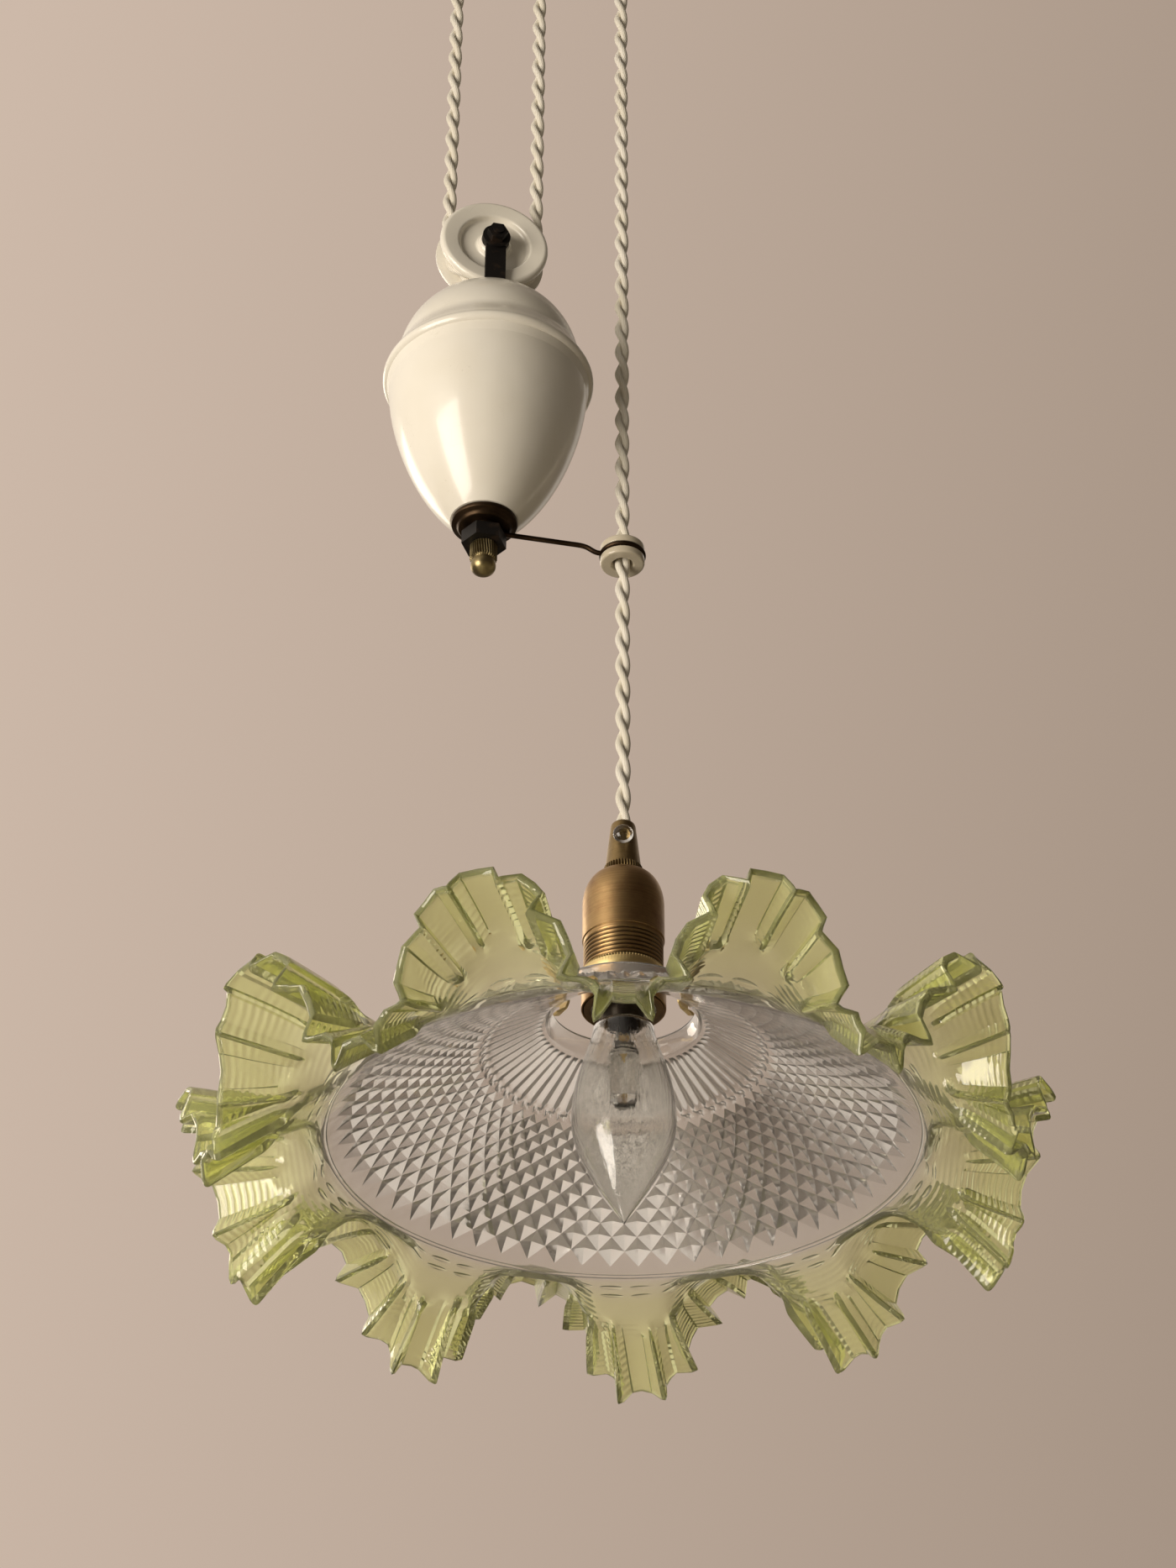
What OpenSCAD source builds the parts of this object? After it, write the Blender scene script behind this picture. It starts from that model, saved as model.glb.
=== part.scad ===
// Rise-and-fall pendant light. One cord is fixed at the ceiling, goes down round the pulley of a
// porcelain counterweight, up over a ceiling pulley, and down through a guide to the lamp.
// The origin is the centre of the ceiling face, and the light hangs below it. The front is -Y.

/* [Layout] */
// Spacing of the cord's runs, which is the pitch diameter of both pulleys
cord_gap = 35; // [33:1:42]
// Ceiling to the centre of the ceiling pulley
top_pulley_drop = 72; // [68:1:90]
// Ceiling to the centre of the counterweight's pulley
weight_pulley_drop = 277.5; // [230:0.5:300]
// Ceiling to the bead line of the shade
lamp_drop = 670; // [660:1:900]
// Angle of the side that faces the viewer, seen from above
front_angle = -103; // [-180:1:180]

/* [Cord] */
// Diameter over both twisted strands
cord_d = 5.6; // [4:0.1:6]
// Clearance round the cord where a piece guides it
cord_clearance = 0.3; // [0.2:0.05:0.6]

/* [Ceiling fitting] */
// Diameter of the ceiling plate
plate_d = 90; // [84:1:100]
// Thickness of the ceiling plate
plate_t = 2.5; // [2:0.5:4]
// Width of a screw slot
slot_w = 5; // [4:0.5:6]
// Length of a screw slot, along the line between the screws
slot_len = 12; // [8:1:16]
// Distance between the two screw slots
slot_gap = 60; // [50:1:64]
// Diameter of the hole for the mains wires
wire_hole_d = 12; // [8:1:16]
// Diameter of the canopy at the ceiling
canopy_d = 116; // [110:1:140]
// Height of the canopy
canopy_h = 28; // [26:1:34]
// Wall of the canopy
canopy_wall = 1.2; // [1:0.1:2]
// Radius of the canopy's lower edge
canopy_round = 9; // [4:1:12]
// Diameter of the hanger stud
stud_d = 5; // [4:0.5:5.5]
// Diameter of the stud's weld flange
stud_flange_d = 12; // [10:1:18]
// Width across the flats of the stud's nuts
stud_nut_af = 8; // [8:0.5:10]
// Height of the stud's nuts
stud_nut_h = 4; // [3:0.5:6]
// Diameter of the gland's collar below the canopy
gland_d = 16; // [14:0.5:20]
// Length of the gland below the canopy
gland_h = 14; // [10:1:18]
// Diameter of the gland's threaded neck
gland_neck_d = 10; // [9:0.5:12]
// Height of the gland's nut
gland_nut_h = 4; // [3:0.5:6]
// Length of the terminal block
block_l = 22; // [18:1:26]
// Width of the terminal block
block_w = 12; // [8:1:16]
// Height of the terminal block
block_h = 10; // [8:1:12]

/* [Pulleys] */
// Outer diameter beyond the pitch circle, on each side
flange_h = 4; // [3.5:0.1:5]
// Width of a pulley over its flanges
pulley_w = 14; // [12:0.5:16]
// Diameter of the hub
hub_d = 14; // [12:0.5:16]
// Outer radius of the recess in each face
recess_r = 13.4; // [12:0.1:14]
// Depth of the recess in each face
recess_depth = 3; // [1:0.5:3.5]
// Radius of the rounded flange
flange_round = 1.8; // [1:0.1:2]
// Diameter of the axles
axle_d = 4; // [3:0.5:5]
// Radial running clearance of a pulley on its axle
running_clearance = 0.05; // [0.02:0.01:0.1]

/* [Forks] */
// Width of the flat iron
strap_w = 8; // [6:0.5:10]
// Thickness of the flat iron
strap_t = 2; // [1.5:0.1:2.5]
// Clearance between a pulley's hub and the iron, on each side
fork_clearance = 0.3; // [0.2:0.1:0.6]
// Radius of the rounded end round the axle
eye_r = 5.5; // [5:0.1:7]
// Inner radius of the bends
bend_r = 1.5; // [1:0.1:3]
// Counterweight pulley's centre to the seat of its fork
weight_fork_reach = 27.5; // [27:0.5:36]
// Diameter of the axle's washer
axle_washer_d = 11; // [10:0.5:13]
// Thickness of the axle's washer
axle_washer_t = 1; // [0.8:0.1:1.5]
// Width across the flats of the axle's nut
axle_nut_af = 7; // [6.5:0.5:9]
// Height of the axle's nut
axle_nut_h = 3.2; // [2.5:0.1:4]
// Diameter of the axle's round head
axle_head_d = 8; // [7:0.5:10]
// Height of the axle's round head
axle_head_h = 2.6; // [2:0.1:3.5]

/* [Counterweight] */
// Radius of the flat seat on top
seat_r = 10.5; // [10:0.1:12]
// Radius of the dome
dome_r = 35.2; // [34:0.1:36]
// Radius of the flared rim
rim_r = 40.3; // [39.5:0.1:44]
// Height of the cap, from the joint to the seat
cap_h = 47; // [46:0.5:54]
// Radius of the pot at the joint
pot_r = 37.8; // [36.5:0.1:39]
// Height of the pot below the joint
pot_h = 62; // [56:1:74]
// Radius of the pot's foot
foot_r = 12.8; // [12:0.1:16]
// Wall of the porcelain
porcelain_wall = 5; // [4:0.5:6]
// Thickness of the pot's floor
pot_floor = 7; // [5:0.5:9]
// Height of the spigot that centres the cap
spigot_h = 5; // [3:0.5:7]
// Height of the shot above the joint
shot_level = 20; // [0:0.5:22]
// Diameter of the tie rod
rod_d = 5; // [4:0.5:6]
// Diameter of the tie rod's head
rod_head_d = 9; // [8:0.5:10]
// Height of the tie rod's head
rod_head_h = 2.4; // [2:0.1:2.6]
// Diameter of the cup washer
cup_d = 24.6; // [20:0.2:25.6]
// Diameter of the cup washer's lower step
cup_step_d = 19; // [16:0.5:19.5]
// Height of the cup washer
cup_h = 3.6; // [2.5:0.1:5]
// Width over the corners of the tie nut
tie_nut_d = 16.9; // [14:0.1:18]
// Height of the tie nut
tie_nut_h = 5.8; // [4:0.1:7]
// Diameter of the acorn nut
acorn_d = 9.7; // [9:0.1:12]
// Height of the acorn nut
acorn_h = 13.4; // [11:0.1:16]
// Height of the acorn nut's knurled band
acorn_band_h = 4; // [3:0.1:5]

/* [Guide] */
// Diameter of the arm's wire
arm_wire_d = 2; // [1.6:0.1:2.4]
// Diameter of the arm's flat eye
arm_eye_d = 12; // [10:0.5:14]
// Drop from the arm's eye to its ring
arm_drop = 2.4; // [1:0.1:4]
// Distance over which the arm drops
arm_ramp = 4; // [3:0.5:8]
// Diameter of the bobbin
bobbin_d = 16.6; // [16:0.2:20]
// Height of the bobbin
bobbin_h = 8.5; // [7:0.1:12]
// Diameter at the bottom of the bobbin's groove
bobbin_groove_d = 13.2; // [12.6:0.1:14]
// Swell of the wire at its bend and its ring
bend_swell = 0.04; // [0.02:0.01:0.1]
// Clearance of the ring in the bobbin's groove
groove_clearance = 0.2; // [0.1:0.05:0.4]
// Flare of the bobbin's mouths
bobbin_flare = 0.8; // [0.4:0.1:1.5]
// Clearance of the cord in the bobbin's throat
throat_clearance = 0.6; // [0.4:0.1:0.8]

/* [Lampholder] */
// Bead line to the bottom of the lower ring
holder_h = 52; // [52:0.5:56]
// Outer diameter of the threaded skirt
skirt_d = 27.6; // [27:0.1:28]
// Wall of the threaded skirt
skirt_wall = 0.9; // [0.8:0.1:1.2]
// Radial clearance of screwed and sliding parts
screw_clearance = 0.05; // [0.03:0.01:0.1]
// Height of the lower ring
lower_ring_h = 7.1; // [6:0.1:9]
// Outer diameter of the lower ring
lower_ring_d = 29; // [28.8:0.1:30]
// Height of the brass shade ring
shade_ring_h = 6.5; // [5:0.1:9]
// Outer diameter of the brass shade ring
shade_ring_d = 29.5; // [29.2:0.1:31]
// Length of thread left in view
thread_h = 12.4; // [10:0.1:15]
// Outer diameter of the cap
holder_cap_d = 28.4; // [28.2:0.1:30]
// Height of the cap
holder_cap_h = 27.2; // [26:0.1:30]
// Height of the cap's straight wall
holder_cap_wall_h = 13.9; // [12:0.1:15]
// Radius of the flat on top of the cap
holder_cap_top_r = 7.5; // [7.5:0.1:8.5]
// Wall of the cap
holder_cap_wall = 1.15; // [1:0.05:1.4]
// Height of the cord grip
grip_h = 21.7; // [19:0.1:25]
// Diameter of the cord grip's base
grip_base_d = 13.6; // [13:0.1:15]
// Diameter of the cord grip's top
grip_top_d = 8.3; // [8:0.1:10]
// Height of the cord grip's knurled band
grip_band_h = 3.5; // [2:0.1:4]
// Diameter of the cord grip's threaded nipple
nipple_d = 9.8; // [9:0.1:10]
// Height of the nipple's ring nut
grip_nut_h = 3; // [2:0.1:3.2]
// Diameter of the nipple's ring nut
grip_nut_d = 12.4; // [12:0.1:12.6]
// Height of the grip screw above the grip's base
grip_screw_h = 13.2; // [11:0.1:14]
// Diameter of the grip screw's shank
grip_screw_d = 3.5; // [3:0.1:4]
// Diameter of the grip screw's head
grip_head_d = 7.1; // [6.5:0.1:7.6]
// Length of the grip screw's head
grip_head_l = 3.4; // [3:0.1:5]
// Diameter of the bulb's cavity in the insulator
cavity_d = 15.5; // [15.2:0.1:16]
// Depth of the bulb's cavity
cavity_h = 20; // [19:0.5:22]
// Inner diameter of the screw shell
shell_bore = 14.1; // [14:0.05:14.2]
// Wall of the screw shell
shell_wall = 0.55; // [0.3:0.05:0.6]

/* [Claw] */
// Thickness of the claw's disc
claw_t = 1; // [0.8:0.1:1.5]
// Thickness of a claw arm
claw_arm_t = 0.8; // [0.6:0.1:1]
// Width of a claw arm
claw_arm_w = 6; // [4:0.5:8]
// Clearance between a claw hook and the glass
claw_clearance = 0.3; // [0.2:0.05:0.5]
// Reach of a hook under the neck
hook_reach = 3.2; // [2:0.1:4]

/* [Shade] */
// Radius of the bead line
bead_r = 98; // [90:1:110]
// Radius of the ring where the flutes end
flute_r = 48; // [42:1:54]
// Height of the flute ring above the bead line
flute_h = 32; // [28:1:36]
// Inner radius of the neck
neck_r = 24.9; // [24.4:0.1:27]
// Height of the neck's lower edge above the bead line
neck_h = 45.5; // [44.5:0.5:47]
// Length of the neck
neck_len = 9; // [8:0.5:9.3]
// Thickness of the glass
glass_t = 3; // [2.5:0.1:4]
// Height of the largest diamond points above the glass, which shrink inwards with their width
diamond_h = 2.6; // [1:0.1:3]
// Height of a flute above the glass
flute_rib_h = 1.2; // [0.4:0.1:1.6]
// Radius where the diamonds end and the plain band starts
band_r = 94.5; // [84:0.5:95]
// Radius of the rim, midway between its crests and hollows
frill_r = 137; // [132:1:150]
// Half the difference in radius between crests and hollows
frill_r_swing = 5; // [0:0.5:10]
// Distance of the rim's centre from the lamp's axis
frill_offset = 3; // [0:0.5:6]
// Direction of the rim's centre from the lamp's axis
frill_offset_a = 167; // [-180:1:180]
// Height of the rim, midway between its crests and hollows
frill_z = -7; // [-14:0.1:-2]
// Half the difference in height between crests and hollows
frill_z_swing = 22; // [12:0.1:25]
// Roundness of the waves, where a small value gives flat crests and narrow gaps
wave_roundness = 0.6; // [0.3:0.1:3]
// Lean of the waves at the far side, round the axis
frill_lean = 1.3; // [0:0.1:2]
// Length over which the skirt keeps the slope of the cone
skirt_knee = 20; // [14:0.5:26]
// Depth of the crimps, from panel to ridge
crimp_depth = 8.5; // [4:0.1:10]
// Share of the skirt that has no crimps, from the bead line
crimp_start = 0.34; // [0.3:0.01:0.38]
// Share of the skirt over which the crimps reach their depth
crimp_run = 0.22; // [0.16:0.01:0.3]
// Width of a ridge against the distance from one ridge to the next
ridge_share = 0.27; // [0.2:0.01:0.4]
// Steepness of a ridge's sides
ridge_steepness = 3.5; // [2:0.1:5]
// Reach of the ridges' tips past the rim, against the width of the skirt
ridge_tip = 0.09; // [0:0.01:0.12]

/* [Bulb] */
// Diameter of the bulb's cap
bulb_cap_d = 13.8; // [13.4:0.1:13.9]
// Length of the bulb's cap with its contact
bulb_cap_l = 24.2; // [22:0.1:26]
// Largest diameter of the bulb
bulb_d = 35; // [30:0.5:38]
// Bead line to the level of the bulb's largest diameter
bulb_mid_h = 10.6; // [6:0.1:14]
// Bead line down to the bulb's tip
bulb_tip_drop = 29.2; // [24:0.1:36]
// Diameter of the bulb just below its cap
bulb_neck_d = 21; // [18:0.5:23]
// Wall of the bulb
bulb_wall = 0.8; // [0.6:0.1:1]
// Diameter of the inner capsule
capsule_d = 10; // [8:0.5:12]
// Length of the inner capsule
capsule_l = 22; // [18:0.5:26]

/* [Hidden] */
$fn = 64;
overcut = 1;
porcelain = [0.93, 0.92, 0.88];
iron = [0.13, 0.12, 0.12];
bronze = [0.35, 0.25, 0.17];
brass = [0.85, 0.65, 0.25];
flex = [0.87, 0.81, 0.68];

// Places of the three runs of cord and of the two pulleys
fixed_x = -cord_gap;
middle_x = 0;
lamp_x = cord_gap;
weight_x = (fixed_x + middle_x) / 2;
top_x = (middle_x + lamp_x) / 2;
cord_r = cord_d / 2;

// Pulleys and forks
pitch_r = cord_gap / 2;
groove_r = cord_r + cord_clearance;
pulley_r = pitch_r + flange_h;
hub_w = pulley_w + 0.4;
fork_gap = hub_w + 2 * fork_clearance;
fork_out = fork_gap / 2 + strap_t;
axle_r = axle_d / 2;
axle_hole_r = axle_r + running_clearance;
axle_end = fork_out + axle_washer_t + axle_nut_h + 0.8;
top_fork_reach = top_pulley_drop - canopy_h;

// Ceiling fitting
stud_end = canopy_h + strap_t + stud_nut_h + 1.5;
stud_hole_r = stud_d / 2 + screw_clearance;
gland_bore_r = cord_r + cord_clearance;
gland_top = canopy_h - canopy_wall - gland_nut_h - 1;
gland_end = canopy_h + gland_h;

// Counterweight, measured from the seat on top of its cap
rod_hole_r = rod_d / 2 + screw_clearance;
dome_z = -sqrt(dome_r * dome_r - seat_r * seat_r);
dome_foot_a = 8;
foot_z = -cap_h - pot_h;
cup_z = foot_z - cup_h;
eye_z = cup_z - arm_wire_d;
tie_nut_z = eye_z - tie_nut_h;
acorn_z = tie_nut_z - acorn_h;
rod_end_z = tie_nut_z - acorn_h / 2;
spigot_r = pot_r - porcelain_wall - 0.1;
shot_gap = 0.3;

// Guide
arm_z = cup_z - arm_wire_d / 2;
ring_z = arm_z - arm_drop;
ring_r = bobbin_groove_d / 2 + groove_clearance + arm_wire_d / 2;
arm_reach = lamp_x - weight_x;

// Lampholder, measured from the bead line
claw_z = holder_h + lower_ring_h;
shade_ring_z = claw_z + claw_t;
thread_z = shade_ring_z + shade_ring_h;
holder_cap_z = thread_z + thread_h;
grip_z = holder_cap_z + holder_cap_h;
grip_top_z = grip_z + grip_h;
skirt_bottom_z = holder_h - 0.5;
skirt_r = skirt_d / 2;
skirt_bore_r = skirt_r - skirt_wall;
skirt_lip = 1;
skirt_neck_h = 6;
skirt_neck_r = holder_cap_d / 2 - holder_cap_wall - screw_clearance;
insulator_z = skirt_bottom_z + skirt_lip;
insulator_r = skirt_bore_r - 0.1;
insulator_top = holder_cap_z + 4;
cavity_top = insulator_z + cavity_h;
terminal_h = 5;

// Bulb
contact_gap = 0.3;
tongue_t = 0.4;
tongue_drop = 1.1;
bulb_cap_top = cavity_top - tongue_t - tongue_drop - contact_gap;
bulb_cap_z = bulb_cap_top - bulb_cap_l;

// Shade. Sixty flutes, diamonds to a row and crimps go round, and ten waves.
cells = 60;
cols = 2 * cells;
crimp_steps = 8;
fine = crimp_steps * cells;
waves = 10;
diamond_rows = 12;
cone_a = atan(flute_h / (bead_r - flute_r));
flute_a = atan((neck_h - flute_h) / (flute_r - neck_r));
frill_steps = [0.36, 0.56, 0.78, 1];
crimp_inner = 0.55;

// Points of an arc about x, y from angle a to angle b
function arc(x, y, r, a, b, n = 8) =
    [for (i = [0:n]) let (t = a + (b - a) * i / n) [x + r * cos(t), y + r * sin(t)]];

// Points of a cubic curve from p to s with the handles q and r
function curve(p, q, r, s, n = 12) =
    [for (i = [0:n]) let (t = i / n, u = 1 - t)
        u * u * u * p + 3 * t * u * u * q + 3 * t * t * u * r + t * t * t * s];

// Outline of a strip of thickness t along the points p
function turned(v) = [-v[1], v[0]] / norm(v);
function strip_side(p, d) =
    [for (i = [0:len(p) - 1])
        p[i] + d * turned(p[min(i + 1, len(p) - 1)] - p[max(i - 1, 0)])];
function reversed(p) = [for (i = [len(p) - 1:-1:0]) p[i]];
function strip(p, t) = concat(strip_side(p, t / 2), reversed(strip_side(p, -t / 2)));

// A tube or disc with a round hole
module ring(r, hole_r, z, h) {
    translate([0, 0, z]) difference() {
        cylinder(r = r, h = h);
        translate([0, 0, -overcut]) cylinder(r = hole_r, h = h + 2 * overcut);
    }
}

// A hexagonal nut
module hex_nut(corner_r, hole_r, z, h) {
    translate([0, 0, z]) difference() {
        cylinder(r = corner_r, h = h, $fn = 6);
        translate([0, 0, -overcut]) cylinder(r = hole_r, h = h + 2 * overcut);
    }
}

module at_top_pulley() { translate([top_x, 0, -top_pulley_drop]) children(); }
module at_weight_pulley() { translate([weight_x, 0, -weight_pulley_drop]) children(); }
module at_seat() { translate([weight_x, 0, -weight_pulley_drop - weight_fork_reach]) children(); }
module at_bead() { translate([lamp_x, 0, -lamp_drop]) children(); }
module along_axle() { rotate([90, 0, 0]) children(); }

// Pulley of porcelain about the Y axis, with a round groove, rounded flanges and a domed hub
module pulley() {
    half = pulley_w / 2;
    floor_y = half - recess_depth;
    hub_r = hub_d / 2;
    side = concat(
        [[axle_hole_r, hub_w / 2], [hub_r - 2.5, hub_w / 2]],
        arc(hub_r - 2.5, hub_w / 2 - 2, 2, 90, 0, 4),
        [[hub_r, floor_y], [recess_r, floor_y], [recess_r + 0.8, half - 0.8]],
        arc(pulley_r - flange_round, half - flange_round, flange_round, 90, 0, 6),
        [[pulley_r, groove_r + 1.2]],
        arc(pitch_r, 0, groove_r, 90, 180, 8));
    along_axle() rotate_extrude() polygon(concat(side, [for (p = reversed(side)) if (p[1] > 0.001) [p[0], -p[1]]]));
}

// Axle bolt with its round head at the back
module axle() {
    along_axle() union() {
        translate([0, 0, -fork_out]) cylinder(r = axle_r, h = fork_out + axle_end);
        translate([0, 0, -fork_out - axle_head_h])
            rotate_extrude() polygon(concat(
                [[0, 0], [axle_head_d / 2 - 1.2, 0]],
                arc(axle_head_d / 2 - 1.2, 1.2, 1.2, -90, 0, 4),
                [[axle_head_d / 2, axle_head_h], [0, axle_head_h]]));
    }
}

module axle_washer() { along_axle() ring(axle_washer_d / 2, axle_hole_r, fork_out, axle_washer_t); }
module axle_nut() {
    along_axle() hex_nut(axle_nut_af / 2 / cos(30), axle_hole_r, fork_out + axle_washer_t, axle_nut_h);
}

// Outline of a U in the plane across the axle, open at the top
module u_outline(half, depth, r, rise) {
    hull() {
        for (s = [-1, 1]) translate([s * (half - r), r - depth]) circle(r = r, $fn = 32);
        translate([-half, rise - 1]) square([2 * half, 1]);
    }
}

// Fork of flat iron that hangs below the axle by reach, with a hole in its base
module fork(reach, base_hole_r) {
    difference() {
        union() {
            translate([-strap_w / 2, 0, 0]) rotate([90, 0, 90]) linear_extrude(strap_w) difference() {
                u_outline(fork_out, reach, bend_r + strap_t, 0);
                u_outline(fork_gap / 2, reach - strap_t, bend_r, overcut);
            }
            for (y = [fork_gap / 2, -fork_out])
                translate([0, y + strap_t, 0]) along_axle() cylinder(r = eye_r, h = strap_t);
        }
        along_axle() translate([0, 0, -fork_out - overcut])
            cylinder(r = axle_hole_r, h = 2 * (fork_out + overcut));
        translate([0, 0, -reach - overcut]) cylinder(r = base_hole_r, h = strap_t + 2 * overcut);
    }
}

// Ceiling fitting

module ceiling_plate() {
    color("silver") difference() {
        translate([0, 0, -plate_t]) cylinder(d = plate_d, h = plate_t);
        for (s = [-1, 1]) translate([0, s * slot_gap / 2, -plate_t - overcut]) union() {
            for (e = [-1, 1]) translate([0, e * (slot_len - slot_w) / 2, 0])
                cylinder(d = slot_w, h = plate_t + 2 * overcut);
            translate([-slot_w / 2, -(slot_len - slot_w) / 2, 0])
                cube([slot_w, slot_len - slot_w, plate_t + 2 * overcut]);
        }
        translate([-8, 0, -plate_t - overcut]) cylinder(d = wire_hole_d, h = plate_t + 2 * overcut);
    }
}

module hanger_stud() {
    color("silver") translate([top_x, 0, 0]) union() {
        translate([0, 0, -stud_end]) cylinder(d = stud_d, h = stud_end - plate_t);
        translate([0, 0, -plate_t - 2]) cylinder(d = stud_flange_d, h = 2);
    }
}

module canopy() {
    out_r = canopy_d / 2;
    in_round = canopy_round - canopy_wall;
    color(bronze) difference() {
        rotate_extrude() polygon(concat(
            [[0, -canopy_h]],
            arc(out_r - 3 - canopy_round, canopy_round - canopy_h, canopy_round, -90, 0, 8),
            [[out_r, 0], [out_r - canopy_wall, 0]],
            reversed(arc(out_r - 3 - canopy_round, canopy_round - canopy_h, in_round, -90, 0, 8)),
            [[0, canopy_wall - canopy_h]]));
        translate([top_x, 0, -canopy_h - overcut]) cylinder(r = stud_hole_r, h = canopy_wall + 2 * overcut);
        translate([fixed_x, 0, -canopy_h - overcut])
            cylinder(r = gland_neck_d / 2 + screw_clearance, h = canopy_wall + 2 * overcut);
    }
}

module canopy_nut() {
    color("silver") translate([top_x, 0, 0])
        hex_nut(stud_nut_af / 2 / cos(30), stud_hole_r, canopy_wall - canopy_h, stud_nut_h);
}

module hanger_strap() { color(iron) at_top_pulley() mirror([0, 0, 1]) fork(top_fork_reach, stud_hole_r); }

module hanger_nut() {
    color(iron) translate([top_x, 0, 0])
        hex_nut(stud_nut_af / 2 / cos(30), stud_hole_r, -canopy_h - strap_t - stud_nut_h, stud_nut_h);
}

module top_pulley() { color(porcelain) at_top_pulley() pulley(); }
module top_axle() { color(iron) at_top_pulley() axle(); }
module top_axle_washer() { color(iron) at_top_pulley() axle_washer(); }
module top_axle_nut() { color(iron) at_top_pulley() axle_nut(); }

module cord_gland() {
    color(bronze) translate([fixed_x, 0, 0]) rotate_extrude() polygon(concat(
        [[gland_bore_r, -gland_top], [gland_bore_r, -gland_end], [gland_bore_r + 1.4, -gland_end]],
        arc(gland_d / 2 - 2, -canopy_h - 5, 2, -60, 0, 5),
        [[gland_d / 2, -canopy_h], [gland_neck_d / 2, -canopy_h], [gland_neck_d / 2, -gland_top]]));
}

module gland_nut() {
    color("silver") translate([fixed_x, 0, 0])
        hex_nut(gland_neck_d * 0.8, gland_neck_d / 2 + screw_clearance, canopy_wall - canopy_h, gland_nut_h);
}

module terminal_block() {
    color("ivory") difference() {
        translate([fixed_x - block_w / 2, -block_l / 2, -plate_t - block_h]) cube([block_w, block_l, block_h]);
        for (s = [-1, 1]) translate([fixed_x, s * block_l / 4 + s, -plate_t - block_h - overcut])
            cylinder(d = 3, h = block_h - 2 + overcut);
    }
}

// Cord

module straight_cord(x, z_top, z_bottom) {
    color(flex) translate([x, 0, z_bottom]) cylinder(r = cord_r, h = z_top - z_bottom);
}

// Half a turn round a pulley at the origin, below its axle
module half_turn() {
    color(flex) rotate([-90, 0, 0]) rotate_extrude(angle = 180) translate([pitch_r, 0]) circle(r = cord_r);
}

module cord_tail() { straight_cord(fixed_x, -plate_t - block_h, -gland_end); }
module cord_fixed_run() { straight_cord(fixed_x, -gland_end, -weight_pulley_drop); }
module cord_weight_loop() { at_weight_pulley() half_turn(); }
module cord_middle_run() { straight_cord(middle_x, -top_pulley_drop, -weight_pulley_drop); }
module cord_top_loop() { at_top_pulley() rotate([180, 0, 0]) half_turn(); }
module cord_lamp_run() { straight_cord(lamp_x, -top_pulley_drop, grip_top_z - lamp_drop); }
module lamp_cord_end() { straight_cord(lamp_x, grip_top_z - lamp_drop, insulator_top - lamp_drop); }

// Counterweight

module weight_strap() { color(iron) at_weight_pulley() fork(weight_fork_reach, rod_hole_r); }
module weight_pulley() { color(porcelain) at_weight_pulley() pulley(); }
module weight_axle() { color(iron) at_weight_pulley() axle(); }
module weight_axle_washer() { color(iron) at_weight_pulley() axle_washer(); }
module weight_axle_nut() { color(iron) at_weight_pulley() axle_nut(); }

module weight_cap() {
    inner_r = dome_r - porcelain_wall;
    dome_end = [dome_r * cos(dome_foot_a), dome_z + dome_r * sin(dome_foot_a)];
    edge_r = 2.4;
    edge_z = -cap_h + 6;
    color(porcelain) at_seat() rotate_extrude() polygon(concat(
        [[rod_hole_r, 0]],
        arc(0, dome_z, dome_r, acos(seat_r / dome_r), dome_foot_a, 16),
        curve(dome_end, dome_end + [0.3, -4], [rim_r - 2, edge_z + 5.5], [rim_r - 0.9, edge_z + edge_r - 0.3], 6),
        arc(rim_r - edge_r, edge_z, edge_r, 40, -70, 7),
        [[pot_r, -cap_h], [spigot_r + 0.3, -cap_h], [spigot_r + 0.3, 0.5 + spigot_h - cap_h]],
        [[inner_r, dome_z]],
        arc(0, dome_z, inner_r, 5, acos(rod_hole_r / inner_r), 12)));
}

module weight_pot() {
    floor_z = foot_z + pot_floor;
    color(porcelain) at_seat() rotate_extrude() polygon(concat(
        [[spigot_r, spigot_h - cap_h], [spigot_r, -cap_h]],
        curve([pot_r, -cap_h], [pot_r - 0.8, -cap_h - 18], [foot_r + 15.2, foot_z + 16], [foot_r, foot_z], 14),
        [[rod_hole_r, foot_z], [rod_hole_r, floor_z]],
        curve([foot_r - 3.8, floor_z], [foot_r + 9.7, floor_z + 12],
            [spigot_r - 1.2, -cap_h - 19], [spigot_r - 4.2, -cap_h], 14),
        [[spigot_r - 4.2, spigot_h - cap_h]]));
}

module weight_ballast() {
    floor_z = foot_z + pot_floor;
    color("dimgray") at_seat() rotate_extrude() polygon(concat(
        [[rod_hole_r + 0.1, shot_level - cap_h], [rod_hole_r + 0.1, floor_z]],
        curve([foot_r - 3.8 - 2 * shot_gap, floor_z], [foot_r + 9.7 - shot_gap, floor_z + 12],
            [spigot_r - 1.2 - shot_gap, -cap_h - 19], [spigot_r - 4.2 - shot_gap, -cap_h], 14),
        [[spigot_r - 4.2 - shot_gap, shot_level - cap_h]]));
}

module tie_rod() {
    color(iron) at_seat() union() {
        translate([0, 0, rod_end_z]) cylinder(d = rod_d, h = strap_t - rod_end_z);
        translate([0, 0, strap_t]) cylinder(d = rod_head_d, h = rod_head_h);
    }
}

module cup_washer() {
    color(bronze) at_seat() rotate_extrude() polygon([
        [rod_hole_r, foot_z], [cup_d / 2, foot_z], [cup_d / 2, foot_z - cup_h / 2],
        [cup_step_d / 2 + 0.8, foot_z - cup_h * 0.65], [cup_step_d / 2, cup_z], [rod_hole_r, cup_z]]);
}

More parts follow.
